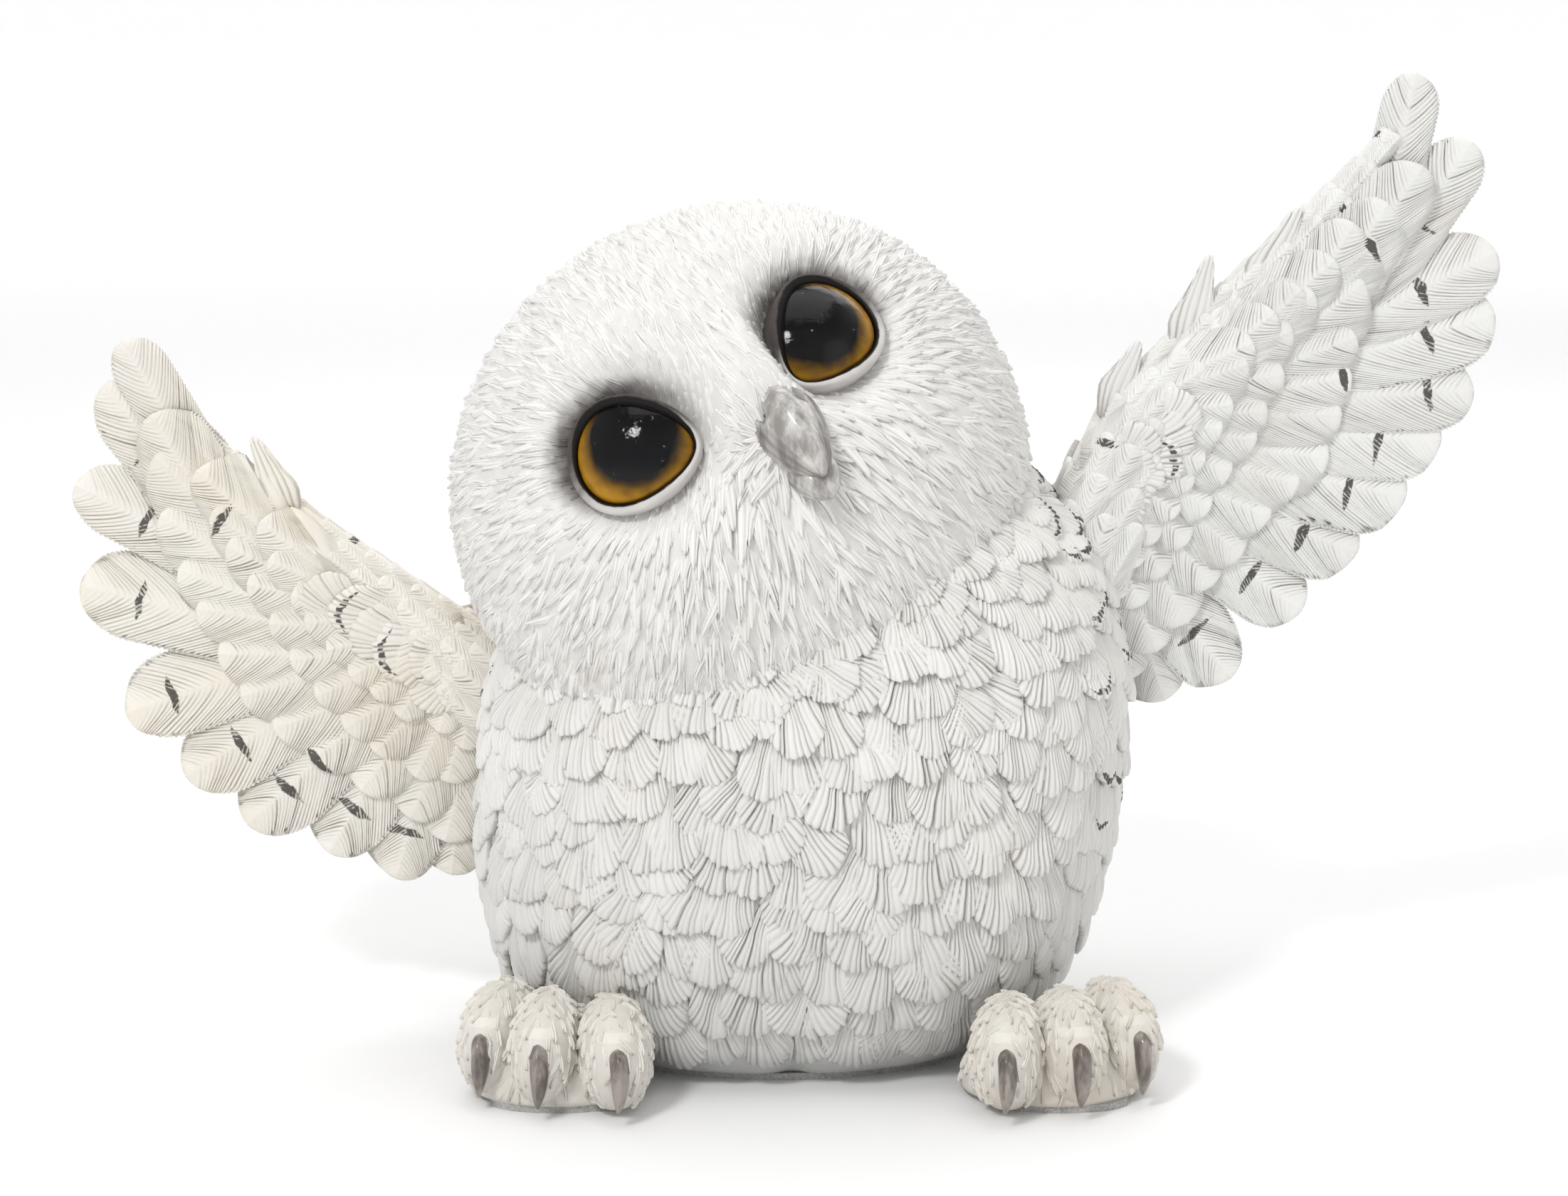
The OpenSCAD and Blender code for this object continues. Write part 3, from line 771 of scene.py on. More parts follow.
def body_skin():
    """The smooth casting under the feathers, which shows as the rim round the base."""
    angle = circle(240)
    heights = np.concatenate([[1.0, 1.05, 1.4, 2.2], np.linspace(3.5, 89, 70)])
    a, z = np.meshgrid(angle, heights)
    ring = BODY(around_body(a, z, z))
    inward = np.stack([ring[..., 0] - BODY.middle(z), ring[..., 1], 0 * z], -1)
    soft, = upright(np.concatenate([[2.2, 0.9, 0.35, 0.1], 0.7 * smooth((heights[4:] - 3.5) / 4)]))
    ring = ring - unit(inward) * soft
    # Painted shade: the skin is darkened above the rim, where it lies under the feathers.
    rings_piece(ring, "body_skin", "body_casting", "body_resin", BODY_PAINT,
                cavity=0.35 * smooth((z - 5) / 3))


def feather_rows():
    """Tips of the body's feathers, in wavy staggered rows up to the neck, and the spacing of their rows."""
    tips, steps, z, row = [], [], 3.6, 0
    while z < 89:
        step = np.interp(z, [6, 30, 60, 88], [5.0, 5.0, 4.4, 3.2])
        a = np.linspace(-math.pi, math.pi, 721)
        ring = BODY(around_body(a, z, z + 0 * a))
        run = np.concatenate([[0], np.cumsum(np.linalg.norm(np.diff(ring, axis=0), axis=1))])
        count = max(6, round(run[-1] / (1.08 * step)))
        at = (np.arange(count) + 0.5 * (row % 2) + rng.uniform(-0.34, 0.34, count)) / count
        angle = np.interp((at % 1) * run[-1], run, a)
        wave = 1.5 * np.sin(3 * angle + 0.9 * row) + 1.2 * np.sin(7 * angle - 1.7 * row)
        up = z + (rng.uniform(-0.3, 0.3, count) * step + 0.5 * wave) * smooth((z - 5) / 8)
        tips.append(around_body(angle, z, up))
        steps.append(np.full(count, step))
        z, row = z + step, row + 1
    return BODY(np.vstack(tips)), np.concatenate(steps)


def away_from_head(p):
    """Downwards over the body, turning to point away from the head near the collar."""
    out = unit(p - HEAD.at)
    near = 1 - smooth((HEAD.depth(p) - 1.0) / 0.75)
    return unit(out * near[:, None] + np.array([0, 0, -1.0]) * (1.15 - near)[:, None])


def body_feathers():
    tips, step = feather_rows()
    keep = HEAD.depth(tips) > 0.97
    tips, step = tips[keep], step[keep]
    order = np.argsort(np.arctan2(tips[:, 0], -tips[:, 1]))
    tips, step = tips[order], step[order]
    n = len(tips)
    length = step * rng.uniform(2.3, 2.8, n)
    width = step * rng.uniform(1.5, 1.85, n)
    local, cavity, from_rim = fans(length, width)
    heading = away_from_head(tips)
    out = unit(np.stack([tips[:, 0] - BODY.middle(tips[:, 2]), tips[:, 1] * 1.5, 0 * tips[:, 0]], -1))
    slant = np.clip(rng.normal(0, 0.34, n), -0.6, 0.6)[:, None]
    heading = unit(heading + slant * np.cross(heading, out))
    top, up = lay(BODY, tips, heading, out, local, -0.7, rng.uniform(0.6, 1.5, n))
    side = np.arctan2(tips[:, 0] - BODY.middle(tips[:, 2]), -tips[:, 1] / BODY.flat)
    inked = (side > 1.1) & (side < 1.8) & (tips[:, 2] > 32) & (rng.random(n) < 0.55)
    inked |= (side < -1.25) & (side > -1.8) & (tips[:, 2] > 48) & (rng.random(n) < 0.5)
    inked |= (np.abs(side) > 1.9) & (rng.random(n) < 0.16)
    mark = np.where(inked, rng.uniform(0.7, 1.3, n), NO_STROKE)
    heap = Heap()
    heap.patches(top, up, 0.8, **feather_numbers(local, cavity, mark, from_rim))
    heap.pieces("body_feathers", "body_casting", "body_resin", BODY_PAINT)


TAIL = Lump((-2, 33, 17), (13, 6, 19), tilt=28)


def tail_feathers():
    """Short tail: four layers of long feathers that fan out behind the base."""
    heap = Heap()
    rows = (7, 15, 4.5, 0.6), (6, 12, 10.5, 1.6), (5, 9, 17, 2.4), (4, 6, 23, 2.8)
    for count, spread, reach, up in rows:
        side = np.linspace(-1, 1, count)
        back, high = 52 - 5 * side ** 2 - 0.3 * reach, reach + 2.5 * side ** 2
        tips = TAIL(np.stack([-2 + spread * side, back, high], -1))
        heading = unit(np.stack([0.5 * side, 0.2 + 0 * side, -1 + 0 * side], -1))
        out = unit(np.stack([0.25 * side, 1 + 0 * side, 0.5 + 0 * side], -1))
        local, cavity = plumes(rng.uniform(16, 18, count), rng.uniform(7, 8.5, count), pitch=0.7)
        local[..., 2] += rng.uniform(-0.12, 0.12, count)[:, None, None] * local[..., 0]
        top, normal = lay(TAIL, tips, heading, out, local, -0.5, up)
        heap.patches(top, normal, 1.0, **feather_numbers(local, cavity))
    heap.pieces("tail_feathers", "body_casting", "body_resin", BODY_PAINT)


# ---------------------------------------------------------------- head

def head_skin():
    """The smooth casting under the fur."""
    ring = HEAD(HEAD.world(ball(1.52, 120, 200) * 40))
    ring = ring - unit(ring - HEAD.at) * 0.1
    # Painted shade: the skin under the fur is darkened.
    rings_piece(ring, "head_skin", "head_casting", "head_resin", HEAD_PAINT, cavity=0.6)


def thin_out(q, gaps):
    """Which of the places to keep, in order, so that no two are closer than their gap."""
    cells, kept, size = {}, [], float(gaps.max())
    for i, (place, gap) in enumerate(zip(q, gaps)):
        key = tuple((place // size).astype(int))
        close = (j for a in (-1, 0, 1) for b in (-1, 0, 1) for c in (-1, 0, 1)
                 for j in cells.get((key[0] + a, key[1] + b, key[2] + c), ()))
        if all(np.dot(place - q[j], place - q[j]) > gap * gap for j in close):
            cells.setdefault(key, []).append(i)
            kept.append(i)
    return kept


def random_directions(count):
    return unit(rng.normal(size=(count, 3)))


def from_eyes(q):
    """Distance from the nearer eye across the face, in mm."""
    return np.hypot(np.abs(q[:, 0]) - HEAD.eye_x, q[:, 2] - HEAD.eye_z) + 100 * (q[:, 1] > 0)


def on_fur(q):
    """Where the head has fur: not in the eye sockets, under the beak or inside the body."""
    p = HEAD.world(q)
    off = np.ones(len(q), bool)
    for side in (1, -1):
        middle, axes = HEAD.eye_frame(side)
        e = (p - middle) @ axes
        egg = np.hypot(e[:, 0] / 9.3, e[:, 1] / (7.9 * (1 - 0.2 * e[:, 0] / 9.3)))
        off &= ~((egg < 1) & (e[:, 2] > -12))
    beak = (np.hypot((q[:, 0] - 2.4) / 4.0, (q[:, 2] + 8.4) / 6.2) < 1) & (q[:, 1] < 0)
    return off & ~beak & ~((BODY.depth(p) < 0.86) & (p[:, 2] < 78))


def fur_flow(q):
    """Fur runs away from both eyes and the beak, over the crown, and down the back of the head."""
    flow = np.zeros_like(q)
    for at, pull in (((HEAD.eye_x, -30, HEAD.eye_z), 1.0), ((-HEAD.eye_x, -30, HEAD.eye_z), 1.0),
                     ((0, -34, -6), 0.8)):
        away = q - np.array(at)
        far = np.linalg.norm(away, axis=1, keepdims=True)
        flow += pull * away / far / (far / 10) ** 2
    down = np.array([0, 0, -1.0]) * smooth((q[:, 1:2] - 4) / 20) * 1.6
    return unit(unit(flow) + down)


def head_fur():
    q = HEAD.local(HEAD(HEAD.world(random_directions(70000) * 40)))
    q = q[on_fur(q)]
    near = from_eyes(q)
    gap = np.where(q[:, 1] > 8, 2.2, np.where(near < 14, 1.15, np.where(near < 20, 1.35, 1.5)))
    low = bell((q[:, 2] + 17) / 11) * bell(q[:, 0] / 22) * (q[:, 1] < 0)
    gap = gap * (1 + 0.4 * low)
    kept = thin_out(q, gap)
    kept = np.array(kept)[np.argsort(np.arctan2(q[kept, 0], -q[kept, 1]))]
    q, gap, near, low = q[kept], gap[kept], near[kept], low[kept]
    n = len(q)
    length = gap * rng.uniform(4.2, 6.6, n)
    width = gap * rng.uniform(1.2, 1.8, n)
    local, cavity = scales(length, width, grooves=3, curl=0.3, depth=0.26, arch=0.15)
    bend, size = upright(rng.normal(0, 0.5, n) * gap, length)
    local[..., 0] += bend * np.sin(3 * local[..., 1] / size) * (1 - local[..., 1] / size)
    tips = HEAD.world(q)
    out = unit(tips - HEAD.at)
    flow = fur_flow(q) @ HEAD.axes.T
    flow = unit(flow - out * np.sum(flow * out, 1, keepdims=True))
    flow = unit(flow + np.cross(flow, out) * rng.normal(0, 0.15, n)[:, None])
    lift = rng.uniform(0.3, 0.9, n) * np.where(near < 13, 0.6, 1) * (1 + low)
    top, up = lay(HEAD, tips, flow, out, local, -0.45, lift)
    heap = Heap()
    heap.patches(top, up, 0.7, **feather_numbers(local, cavity))
    heap.pieces("head_fur", "head_casting", "head_resin", HEAD_PAINT)


# ---------------------------------------------------------------- eyes

def eye_outline(turn, grow=0.0):
    """Egg-shaped edge of a lens in the eye's own axes, grown outwards; turn is in radians."""
    a, b = HEAD.eye_a + grow, HEAD.eye_b + grow
    return np.stack(np.broadcast_arrays(a * np.cos(turn), b * np.sin(turn) * (1 - 0.2 * np.cos(turn))), -1)


LENS_HIGH, LENS_RADIUS = 4.1, 11


def dome(x, y):
    """Height of the clear lens above its flat back."""
    return LENS_HIGH - LENS_RADIUS + np.sqrt(np.maximum(LENS_RADIUS ** 2 - x * x - y * y, 1))


def eye_piece(q, side, name, part, material, **numbers):
    """Places rings of points given in the eye's axes, as a piece for one node of an eye."""
    middle, axes = HEAD.eye_frame(side)
    which = "left" if side > 0 else "right"
    rings = q @ axes.T + middle
    if side > 0:
        rings = rings[:, ::-1]
        numbers = {k: a[:, ::-1] for k, a in numbers.items()}
    slot = {"eye_lens": "eye_glass", "iris_disc": "iris_paint", "eyelid_ring": "eyelid_putty"}[part]
    rings_piece(rings, f"{which}_{name}", f"{which}_{part}", slot, material, **numbers)


def iris_dome(side, material):
    """The painted eye under the clear shell, with a groove round its rim."""
    turn = circle(120)
    size = np.concatenate([[1.0, 1.0, 1.0, 0.985, 0.95], np.linspace(0.9, 0.04, 26)])
    xy = eye_outline(turn)[None] * size[:, None, None]
    z = dome(xy[..., 0], xy[..., 1]) - 0.32 - 0.35 * smooth((size[:, None] - 0.9) / 0.08)
    z[0], z[1] = -1.0, -0.9
    pupil = np.hypot(xy[..., 0] - 0.5, (xy[..., 1] - 1.8) / 1.03)
    edge = np.linalg.norm(eye_outline(turn), axis=-1)[None] * (1 - size[:, None])
    rings = np.concatenate([xy, z[..., None]], -1)
    eye_piece(rings, side, "iris", "iris_disc", material, along=pupil, across=edge)


def lens_shell(side, material):
    """The clear cap over the painted eye."""
    turn = circle(96)
    rows = [(s, -0.24) for s in np.linspace(0.06, 0.97, 18)] + [(0.99, -0.15)]
    rows += [(s, 0.0) for s in np.linspace(0.985, 0.03, 22)]
    layers = []
    for size, drop in rows:
        xy = eye_outline(turn) * size
        layers.append(np.column_stack([xy, dome(xy[:, 0], xy[:, 1]) + drop]))
    eye_piece(np.array(layers), side, "lens", "eye_lens", material)


def eyelid(side, material):
    """Soft rim round the lens: thick under the brow, thin towards the beak, with a dark inner edge and
    painted shade above and outside.
    """
    turn = circle(144)
    upper, inner = smooth((np.sin(turn) + 0.3) / 1.1), smooth((np.cos(turn) - 0.35) / 0.6)
    wide = 0.85 - 0.35 * inner + 0.05 * smooth(-np.sin(turn)) - 0.25 * upper
    lower = smooth((-np.sin(turn) - 0.2) / 0.8)
    profile = ((-0.1, -2.6), (-0.28, 0.1), (-0.3, 0.55), (-0.12, 0.95), (0.2, 1.2), (0.55, 1.25),
               (0.85, 1.08), (1.05, 0.7), (1.15, 0.1), (1.2, -1.0), (1.2, -3.0))
    rings, across = [], []
    for out, high in profile:
        grow = out * np.where(out > 0, wide, 1 + 1.6 * upper * (out < -0.2))
        xy = eye_outline(turn) + unit(eye_outline(turn)) * grow[:, None]
        base = dome(*eye_outline(turn).T)
        z = np.where(high < -0.5, high, base + 0.5 * high * (1 - 0.4 * inner) + 0.15 * upper * (high > 0))
        rings.append(np.column_stack([xy, z]))
        across.append((out + 0.3) * (1 - 0.62 * upper))
    # Painted shade: darker above and on the outer side, lighter below, carried in tint.
    shade = np.clip(0.2 + 0.9 * upper - 0.5 * np.cos(turn) - 0.45 * lower, 0, 1.2)
    tint = np.tile(shade * 0.9, (len(rings), 1))
    eye_piece(np.array(rings), side, "eyelid", "eyelid_ring", material, across=np.array(across), tint=tint)


def eyes():
    glass, amber, lid = clear(), iris(), putty()
    for side in (1, -1):
        iris_dome(side, amber)
        lens_shell(side, glass)
        eyelid(side, lid)


# ---------------------------------------------------------------- beak

BEAK_RINGS, BEAK_SIDES = 46, 72


def beak_grid(shape):
    """What shape gives all over half a beak, and the angle from its ridge."""
    turn = circle(BEAK_SIDES)[None] + np.zeros((BEAK_RINGS, 1))
    return shape(turn, np.linspace(0, 1, BEAK_RINGS)[:, None]), turn


def swept(points, grow, turn):
    """Rings round a path of points [x, y, z, half-width, half-depth], in the head's axes, front first."""
    path = curve_at(points, BEAK_RINGS)
    along = unit(np.gradient(path[:, :3], axis=0))
    across = unit(np.cross(along, np.array([0, -1.0, 0])))
    front = unit(np.cross(across, along))
    x = (np.sin(turn) * (path[:, 3:4] + grow))[..., None]
    y = (np.cos(turn) * (path[:, 4:5] + grow))[..., None]
    return path[:, None, :3] + across[:, None] * x + front[:, None] * y


def from_ridge(turn):
    return np.where(turn > math.pi, turn - 2 * math.pi, turn)


def beak():
    def upper_shape(turn, along):
        side = from_ridge(turn)
        hole = np.hypot((np.abs(side) - 0.7) / 0.17, (along - 0.3) / 0.09)
        ridge = (0.8 * bell(side / 0.38) - 0.35 * bell((np.abs(side) - 1.0) / 0.5)) * smooth(along / 0.25)
        lines = 0.07 * np.sin(side * 19 + 4 * along) * smooth(along / 0.2)
        return ridge + lines - 0.75 * np.exp(-hole ** 4) + 0.12 * bell((hole - 1.5) / 0.3)

    def lower_shape(turn, along):
        side = from_ridge(turn)
        return 0.06 * np.sin(side * 15) - 0.3 * bell(side / 0.2)

    upper = [(3.0, -30.5, -0.9, 2.6, 2.0), (2.9, -33.0, -2.2, 4.3, 3.3), (2.7, -34.7, -5.0, 4.7, 4.2),
             (2.5, -35.7, -8.4, 4.0, 3.9), (2.4, -36.3, -11.4, 2.6, 2.9), (2.3, -36.3, -13.6, 0.8, 1.0)]
    lower = [(2.3, -31.5, -9.5, 3.3, 2.4), (2.0, -34.0, -12.8, 3.1, 2.6), (1.8, -35.2, -15.0, 2.0, 1.6),
             (1.75, -35.6, -16.1, 0.5, 0.5)]
    for name, points, shape in (("beak_upper", upper, upper_shape), ("beak_lower", lower, lower_shape)):
        grow, turn = beak_grid(shape)
        rings = HEAD.world(swept(points, grow, turn))
        # Painted shade: the beak's flanks, nostrils and grooves are darkened through the cavity number.
        flank_shade = smooth((np.minimum(turn, 2 * math.pi - turn) - 0.35) / 1.3)
        deep = np.clip(0.45 * flank_shade - grow * 1.4, 0, 1.2)
        rings_piece(rings[::-1], name, "beak", "beak_resin", BEAK_PAINT, cavity=deep[::-1])


# ---------------------------------------------------------------- wings

# Arms: [x, z, radius]; flight feathers: [tip x, tip z, direction in degrees, length]; tufts on the arm:
# the same with a width; rows of coverts: (points along their tips, first and last direction, how many,
# length, width); crescent: which feather of the fourth row always has a stroke round its rim.
LEFT = dict(
    side=1, node="left_wing", slot="left_wing_resin", paint=LEFT_WING_PAINT, crescent=2,
    arm=[[40, 66, 8.5], [49, 88, 6.0], [64, 105, 3.7], [79, 121, 2.4], [84.5, 129, 0.9]],
    flights=[[87, 135, 76, 32], [94, 126, 57, 34], [98, 111, 28, 34], [98.5, 101, 14, 36],
             [95.5, 91.5, 4, 36], [91, 83, -6, 34], [86, 75, -14, 32], [79, 67, -25, 30],
             [72, 60, -34, 30], [62, 50, -50, 26], [53, 47, -68, 22], [45.5, 46, -80, 20]],
    tufts=[[70, 116.5, 64, 16, 8], [57.5, 110, 76, 16, 8], [48, 98, 66, 12, 7]],
    rows=[([(86, 123), (80, 110), (78, 97), (75, 83), (64, 69), (53, 57), (46.5, 50)],
           (64, -80), 15, 25, 11),
          ([(77, 115), (70, 103), (67, 91), (62, 80), (51, 65), (45, 57)], (56, -76), 13, 19, 10),
          ([(69, 106), (63, 97), (60, 87), (54, 76), (45, 63)], (50, -74), 12, 15, 9),
          ([(55, 91), (53, 83), (48, 74), (43, 66)], (52, -72), 8, 12, 7.5),
          ([(49, 87), (48, 79), (45, 72)], (62, -62), 5, 10, 6.5)])
RIGHT = dict(
    side=-1, node="right_wing", slot="right_wing_resin", paint=RIGHT_WING_PAINT, crescent=3,
    arm=[[-43, 48, 8], [-56, 59, 5.2], [-70, 70.5, 3.4], [-83, 81.5, 2.2], [-88.5, 88, 0.8]],
    flights=[[-95, 98, 119, 34], [-99, 91, 130, 34], [-102.5, 78, 151, 36], [-102.5, 63, 167, 38],
             [-96.5, 45.5, 196, 38], [-87.5, 35, 213, 36], [-78.5, 28, 225, 32], [-67.5, 24.5, 239, 30],
             [-58.5, 21, 251, 28], [-50.5, 21.5, 262, 24], [-45, 25, 268, 20]],
    tufts=[[-77, 84, 114, 14, 7.5]],
    rows=[([(-92, 88), (-91, 75), (-86, 61), (-79, 47), (-67, 36), (-50, 27), (-43, 29)],
           (124, 268), 13, 26, 12),
          ([(-84, 80), (-81, 69), (-75, 58), (-68, 47), (-58, 38), (-43, 33)], (132, 266), 12, 19, 10.5),
          ([(-76, 72), (-72, 64), (-67, 55), (-59, 47), (-47, 41)], (140, 262), 10, 15, 9),
          ([(-69, 65), (-64, 59.5), (-59, 54), (-52, 47), (-45, 45)], (138, 250), 8, 12, 8),
          ([(-55, 55), (-51, 50), (-46, 49)], (170, 255), 4, 10, 7)])


def blade_pair(wing, tip, angle, local, tilt, lean=0.0, thick=0.85):
    """Front and back of feathers that stand in the wing's own sheet, turned a little about their shafts."""
    c, s = upright(np.cos(np.radians(angle)), np.sin(np.radians(angle)))
    end = local[:, -1:, local.shape[2] // 2:local.shape[2] // 2 + 1, 1]
    across, along = local[..., 0], local[..., 1] - end
    x = tip[:, 0, None, None] + c * along + s * across
    z = tip[:, 1, None, None] + s * along - c * across
    middle = wing.middle(x, z) - tilt * across + lean
    deep = thick + local[..., 2]
    return np.stack([x, middle - deep, z], -1), np.stack([x, middle + deep, z], -1)


def flight_feathers(w, wing):
    table = np.array(w["flights"], float)
    n = len(table)
    wide = rng.uniform(11.4, 12.8, n) * np.interp(np.arange(n), [0, 1, 3], [0.72, 0.8, 1])
    local, cavity = plumes(table[:, 3], wide, pitch=0.8, depth=0.36, shaft=0.2)
    top, bottom = blade_pair(wing, table[:, :2], table[:, 2], local, 0.1 * w["side"])
    heap = Heap()
    mark = rng.uniform(6.5, 9.5, n) + np.interp(np.arange(n), [0, 2, 4], [6, 3, 0])
    heap.blades(top, bottom, **feather_numbers(local, cavity, mark))
    tufts = np.array(w["tufts"], float)
    local, cavity = scales(tufts[:, 3], tufts[:, 4], grooves=6, rows=FAN_ROWS, curl=0.5, arch=0.03)
    top, bottom = blade_pair(wing, tufts[:, :2], tufts[:, 2], local, 0, lean=-1.5, thick=1.4)
    heap.blades(top, bottom, **feather_numbers(local, cavity))
    heap.pieces(w["node"] + "_flights", w["node"], w["slot"], w["paint"])


def wing_sheet(w, wing):
    """The solid part of the wing between its arm and the long coverts."""
    side, (x, z, _) = w["side"], w["arm"][0]
    tips = w["rows"][0][0]
    arm = curve_at([(x - 9 * side, z - 5)] + [(x, z) for x, z, _ in w["arm"][:-2]], 60)
    edge = curve_at([(x - 6 * side, tips[-1][1] - 1)] + tips[:0:-1], 60)
    t = np.linspace(0, 1, 40)[:, None, None]
    xz = (1 - t) * arm + t * (edge + 3.5 * unit(arm - edge))
    if side < 0:
        xz = xz[:, ::-1]
    p = np.stack([xz[..., 0], 0 * xz[..., 0], xz[..., 1]], -1)[None]
    faces = [surface(p)[:, :, ::-1] for surface in (wing.opposite(), wing)]
    heap = Heap()
    # Painted shade: the sheet lies under the coverts and is darkened all over.
    heap.blades(*faces, cavity=np.full((1, 40, 60), 0.8), mark=[NO_STROKE])
    heap.pieces(w["node"] + "_sheet", w["node"], w["slot"], w["paint"])


def coverts(w, wing):
    """Rows of smaller feathers on the front and the back of a wing, longest first."""
    heap = Heap()
    for face in (1, -1):
        surface = wing if face > 0 else wing.opposite()
        for number, (curve, (first, last), count, length, width) in enumerate(w["rows"]):
            tip = curve_at(curve, count) + rng.uniform(-0.7, 0.7, (count, 2))
            angle = np.radians(np.linspace(first, last, count) + rng.uniform(-4, 4, count))
            heading = np.stack([np.cos(angle), 0 * angle, np.sin(angle)], -1)
            tips = np.stack([tip[:, 0], 0 * angle, tip[:, 1]], -1)
            size = length * rng.uniform(0.93, 1.07, count), width * rng.uniform(0.95, 1.15, count)
            if number < 3:
                local, cavity = plumes(*size, pitch=0.78, depth=0.34, shaft=0.18)
                along = None
            else:
                local, cavity, along = fans(*size, depth=0.2)
            local[..., 2] += 0.1 * w["side"] * local[..., 0]
            out = np.tile([0, -float(face), 0], (count, 1))
            top, up = lay(surface, tips, heading, out, local, -0.5, 1.1 + 0.25 * number)
            inked = rng.random(count) < 0.07
            inked |= (np.arange(count) == w["crescent"]) & (number == 3)
            mark = np.where(inked, rng.uniform(1.0, 2.2, count), NO_STROKE)
            heap.patches(top, up, 1.1, **feather_numbers(local, cavity, mark, along))
    heap.pieces(w["node"] + "_coverts", w["node"], w["slot"], w["paint"])


def arm_tube(w, wing):
    return Tube([(x, float(wing.middle(np.array(x), np.array(z))), z, r) for x, z, r in w["arm"]])


def arm_skin(w, wing):
    """The bare arm under its feathers, which rounds off at its end."""
    path = curve_at(arm_tube(w, wing).points, 50)
    along = unit(np.gradient(path[:, :3], axis=0))
    across = unit(np.cross(along, [0, -1.0, 0]))
    turn = circle(48)[None, :, None]
    end, = upright(np.sqrt(np.clip((50.2 - np.arange(50)) / 6, 0, 1)))
    around = np.sin(turn) * across[:, None] - np.cos(turn) * np.cross(across, along)[:, None]
    rings = path[:, None, :3] + 0.9 * path[:, None, 3:4] * end * around
    # Painted shade: the arm under its feathers is darkened.
    rings_piece(rings[:, ::-1], w["node"] + "_arm", w["node"], w["slot"], w["paint"], cavity=0.7)


def arm_feathers(w, wing):
    """Overlapping feathers that run along the arm towards the wing's tip, all round it."""
    tube = arm_tube(w, wing)
    path = curve_at(tube.points, 101)
    tips, headings, outs, sizes = [], [], [], []
    for row, u in enumerate(np.linspace(0.12, 0.97, 14)):
        here = int(u * 100)
        at, ahead = path[here], unit((path[here + 1] - path[here - 1])[:3])
        lead = unit(np.cross(ahead, [0, -1.0, 0])) * -w["side"]
        around = 9 if u < 0.6 else 8
        for k in range(around):
            angle = 2 * math.pi * (k + 0.5 * (row % 2) + rng.uniform(-0.15, 0.15)) / around
            out = math.cos(angle) * np.array([0, -1.0, 0]) + math.sin(angle) * lead
            trail = 0.35 * (0.2 - math.sin(angle))
            outs.append(out)
            tips.append(at[:3] + out * at[3])
            headings.append(unit(ahead - lead * trail))
            sizes.append(0.72 + 0.05 * at[3])
    n = len(tips)
    size = np.array(sizes)
    local, cavity = plumes(size * rng.uniform(13, 16, n), size * rng.uniform(6.8, 8.2, n), pitch=0.75,
                           depth=0.28, shaft=0.15, round_end=1.5)
    out = unit(np.array(outs))
    heading = np.array(headings)
    heading = unit(heading - out * np.sum(heading * out, 1, keepdims=True))
    top, up = lay(tube, np.array(tips), heading, out, local, -0.35, rng.uniform(0.3, 0.7, n))
    inked = rng.random(n) < 0.05
    heap = Heap()
    mark = np.where(inked, rng.uniform(1, 3, n), NO_STROKE)
    heap.patches(top, up, 0.9, **feather_numbers(local, cavity, mark))
    heap.pieces(w["node"] + "_arm_feathers", w["node"], w["slot"], w["paint"])


def wings():
    for w in (LEFT, RIGHT):
        wing = Wing([(x, z) for x, z, _ in w["arm"]])
        wing_sheet(w, wing)
        arm_skin(w, wing)
        flight_feathers(w, wing)
        coverts(w, wing)
        arm_feathers(w, wing)


# ---------------------------------------------------------------- feet

# Each toe: [x, y of its front, turn in degrees]
TOES = {"left": [[28, -44, -6], [36, -41.5, 6], [43, -36.5, 16]],
        "right": [[-24.5, -44, 6], [-33.5, -42, -4], [-40, -37.5, -14]]}


def lump_piece(lump, name, node, cavity, rows=28, cols=44):
    """A lump of a foot, as a smooth piece."""
    rings = lump((ball(1.5, rows, cols) * lump.half) @ lump.axes.T + lump.at)
    rings_piece(rings, name, node, "foot_resin", FOOT_PAINT, cavity=cavity)


def toe_fur(heap, lump, clawed=True):
    """Fur that runs down and forwards over a toe, round its knuckle and claw, or over the top of a foot."""
    q = random_directions(3200) * lump.half
    x, y, z = q.T
    bare = np.hypot(x / 1.5, (z - 3.4) / 1.6) < 1
    nail = (np.abs(x) < 1.3) & (z < 3)
    q = q[~((y < -4) & (bare | nail) & clawed) & (z + lump.at[2] > 0.9)]
    q = q[thin_out(q, np.full(len(q), 1.45))]
    n = len(q)
    tips = lump(q @ lump.axes.T + lump.at)
    out = unit(q / lump.half ** 2) @ lump.axes.T
    down = np.stack([0.5 * q[:, 0] / lump.half[0], np.full(n, -0.45), np.full(n, -0.8)], -1)
    down = down @ lump.axes.T
    flow = unit(down - out * np.sum(down * out, 1, keepdims=True))
    flow = unit(flow + np.cross(flow, out) * rng.normal(0, 0.18, n)[:, None])
    local, cavity = scales(rng.uniform(5, 7.5, n), rng.uniform(1.4, 2, n), grooves=3, depth=0.36, arch=0.22,
                           tip=0.65)
    local[..., 0] += rng.normal(0, 0.5, n)[:, None, None] * np.sin(0.5 * local[..., 1])
    top, up = lay(lump, tips, flow, out, local, -0.4, rng.uniform(0.35, 0.9, n))
    top[..., 2] = np.maximum(top[..., 2], 1.15)
    heap.patches(top, up, 0.5, **feather_numbers(local, cavity))


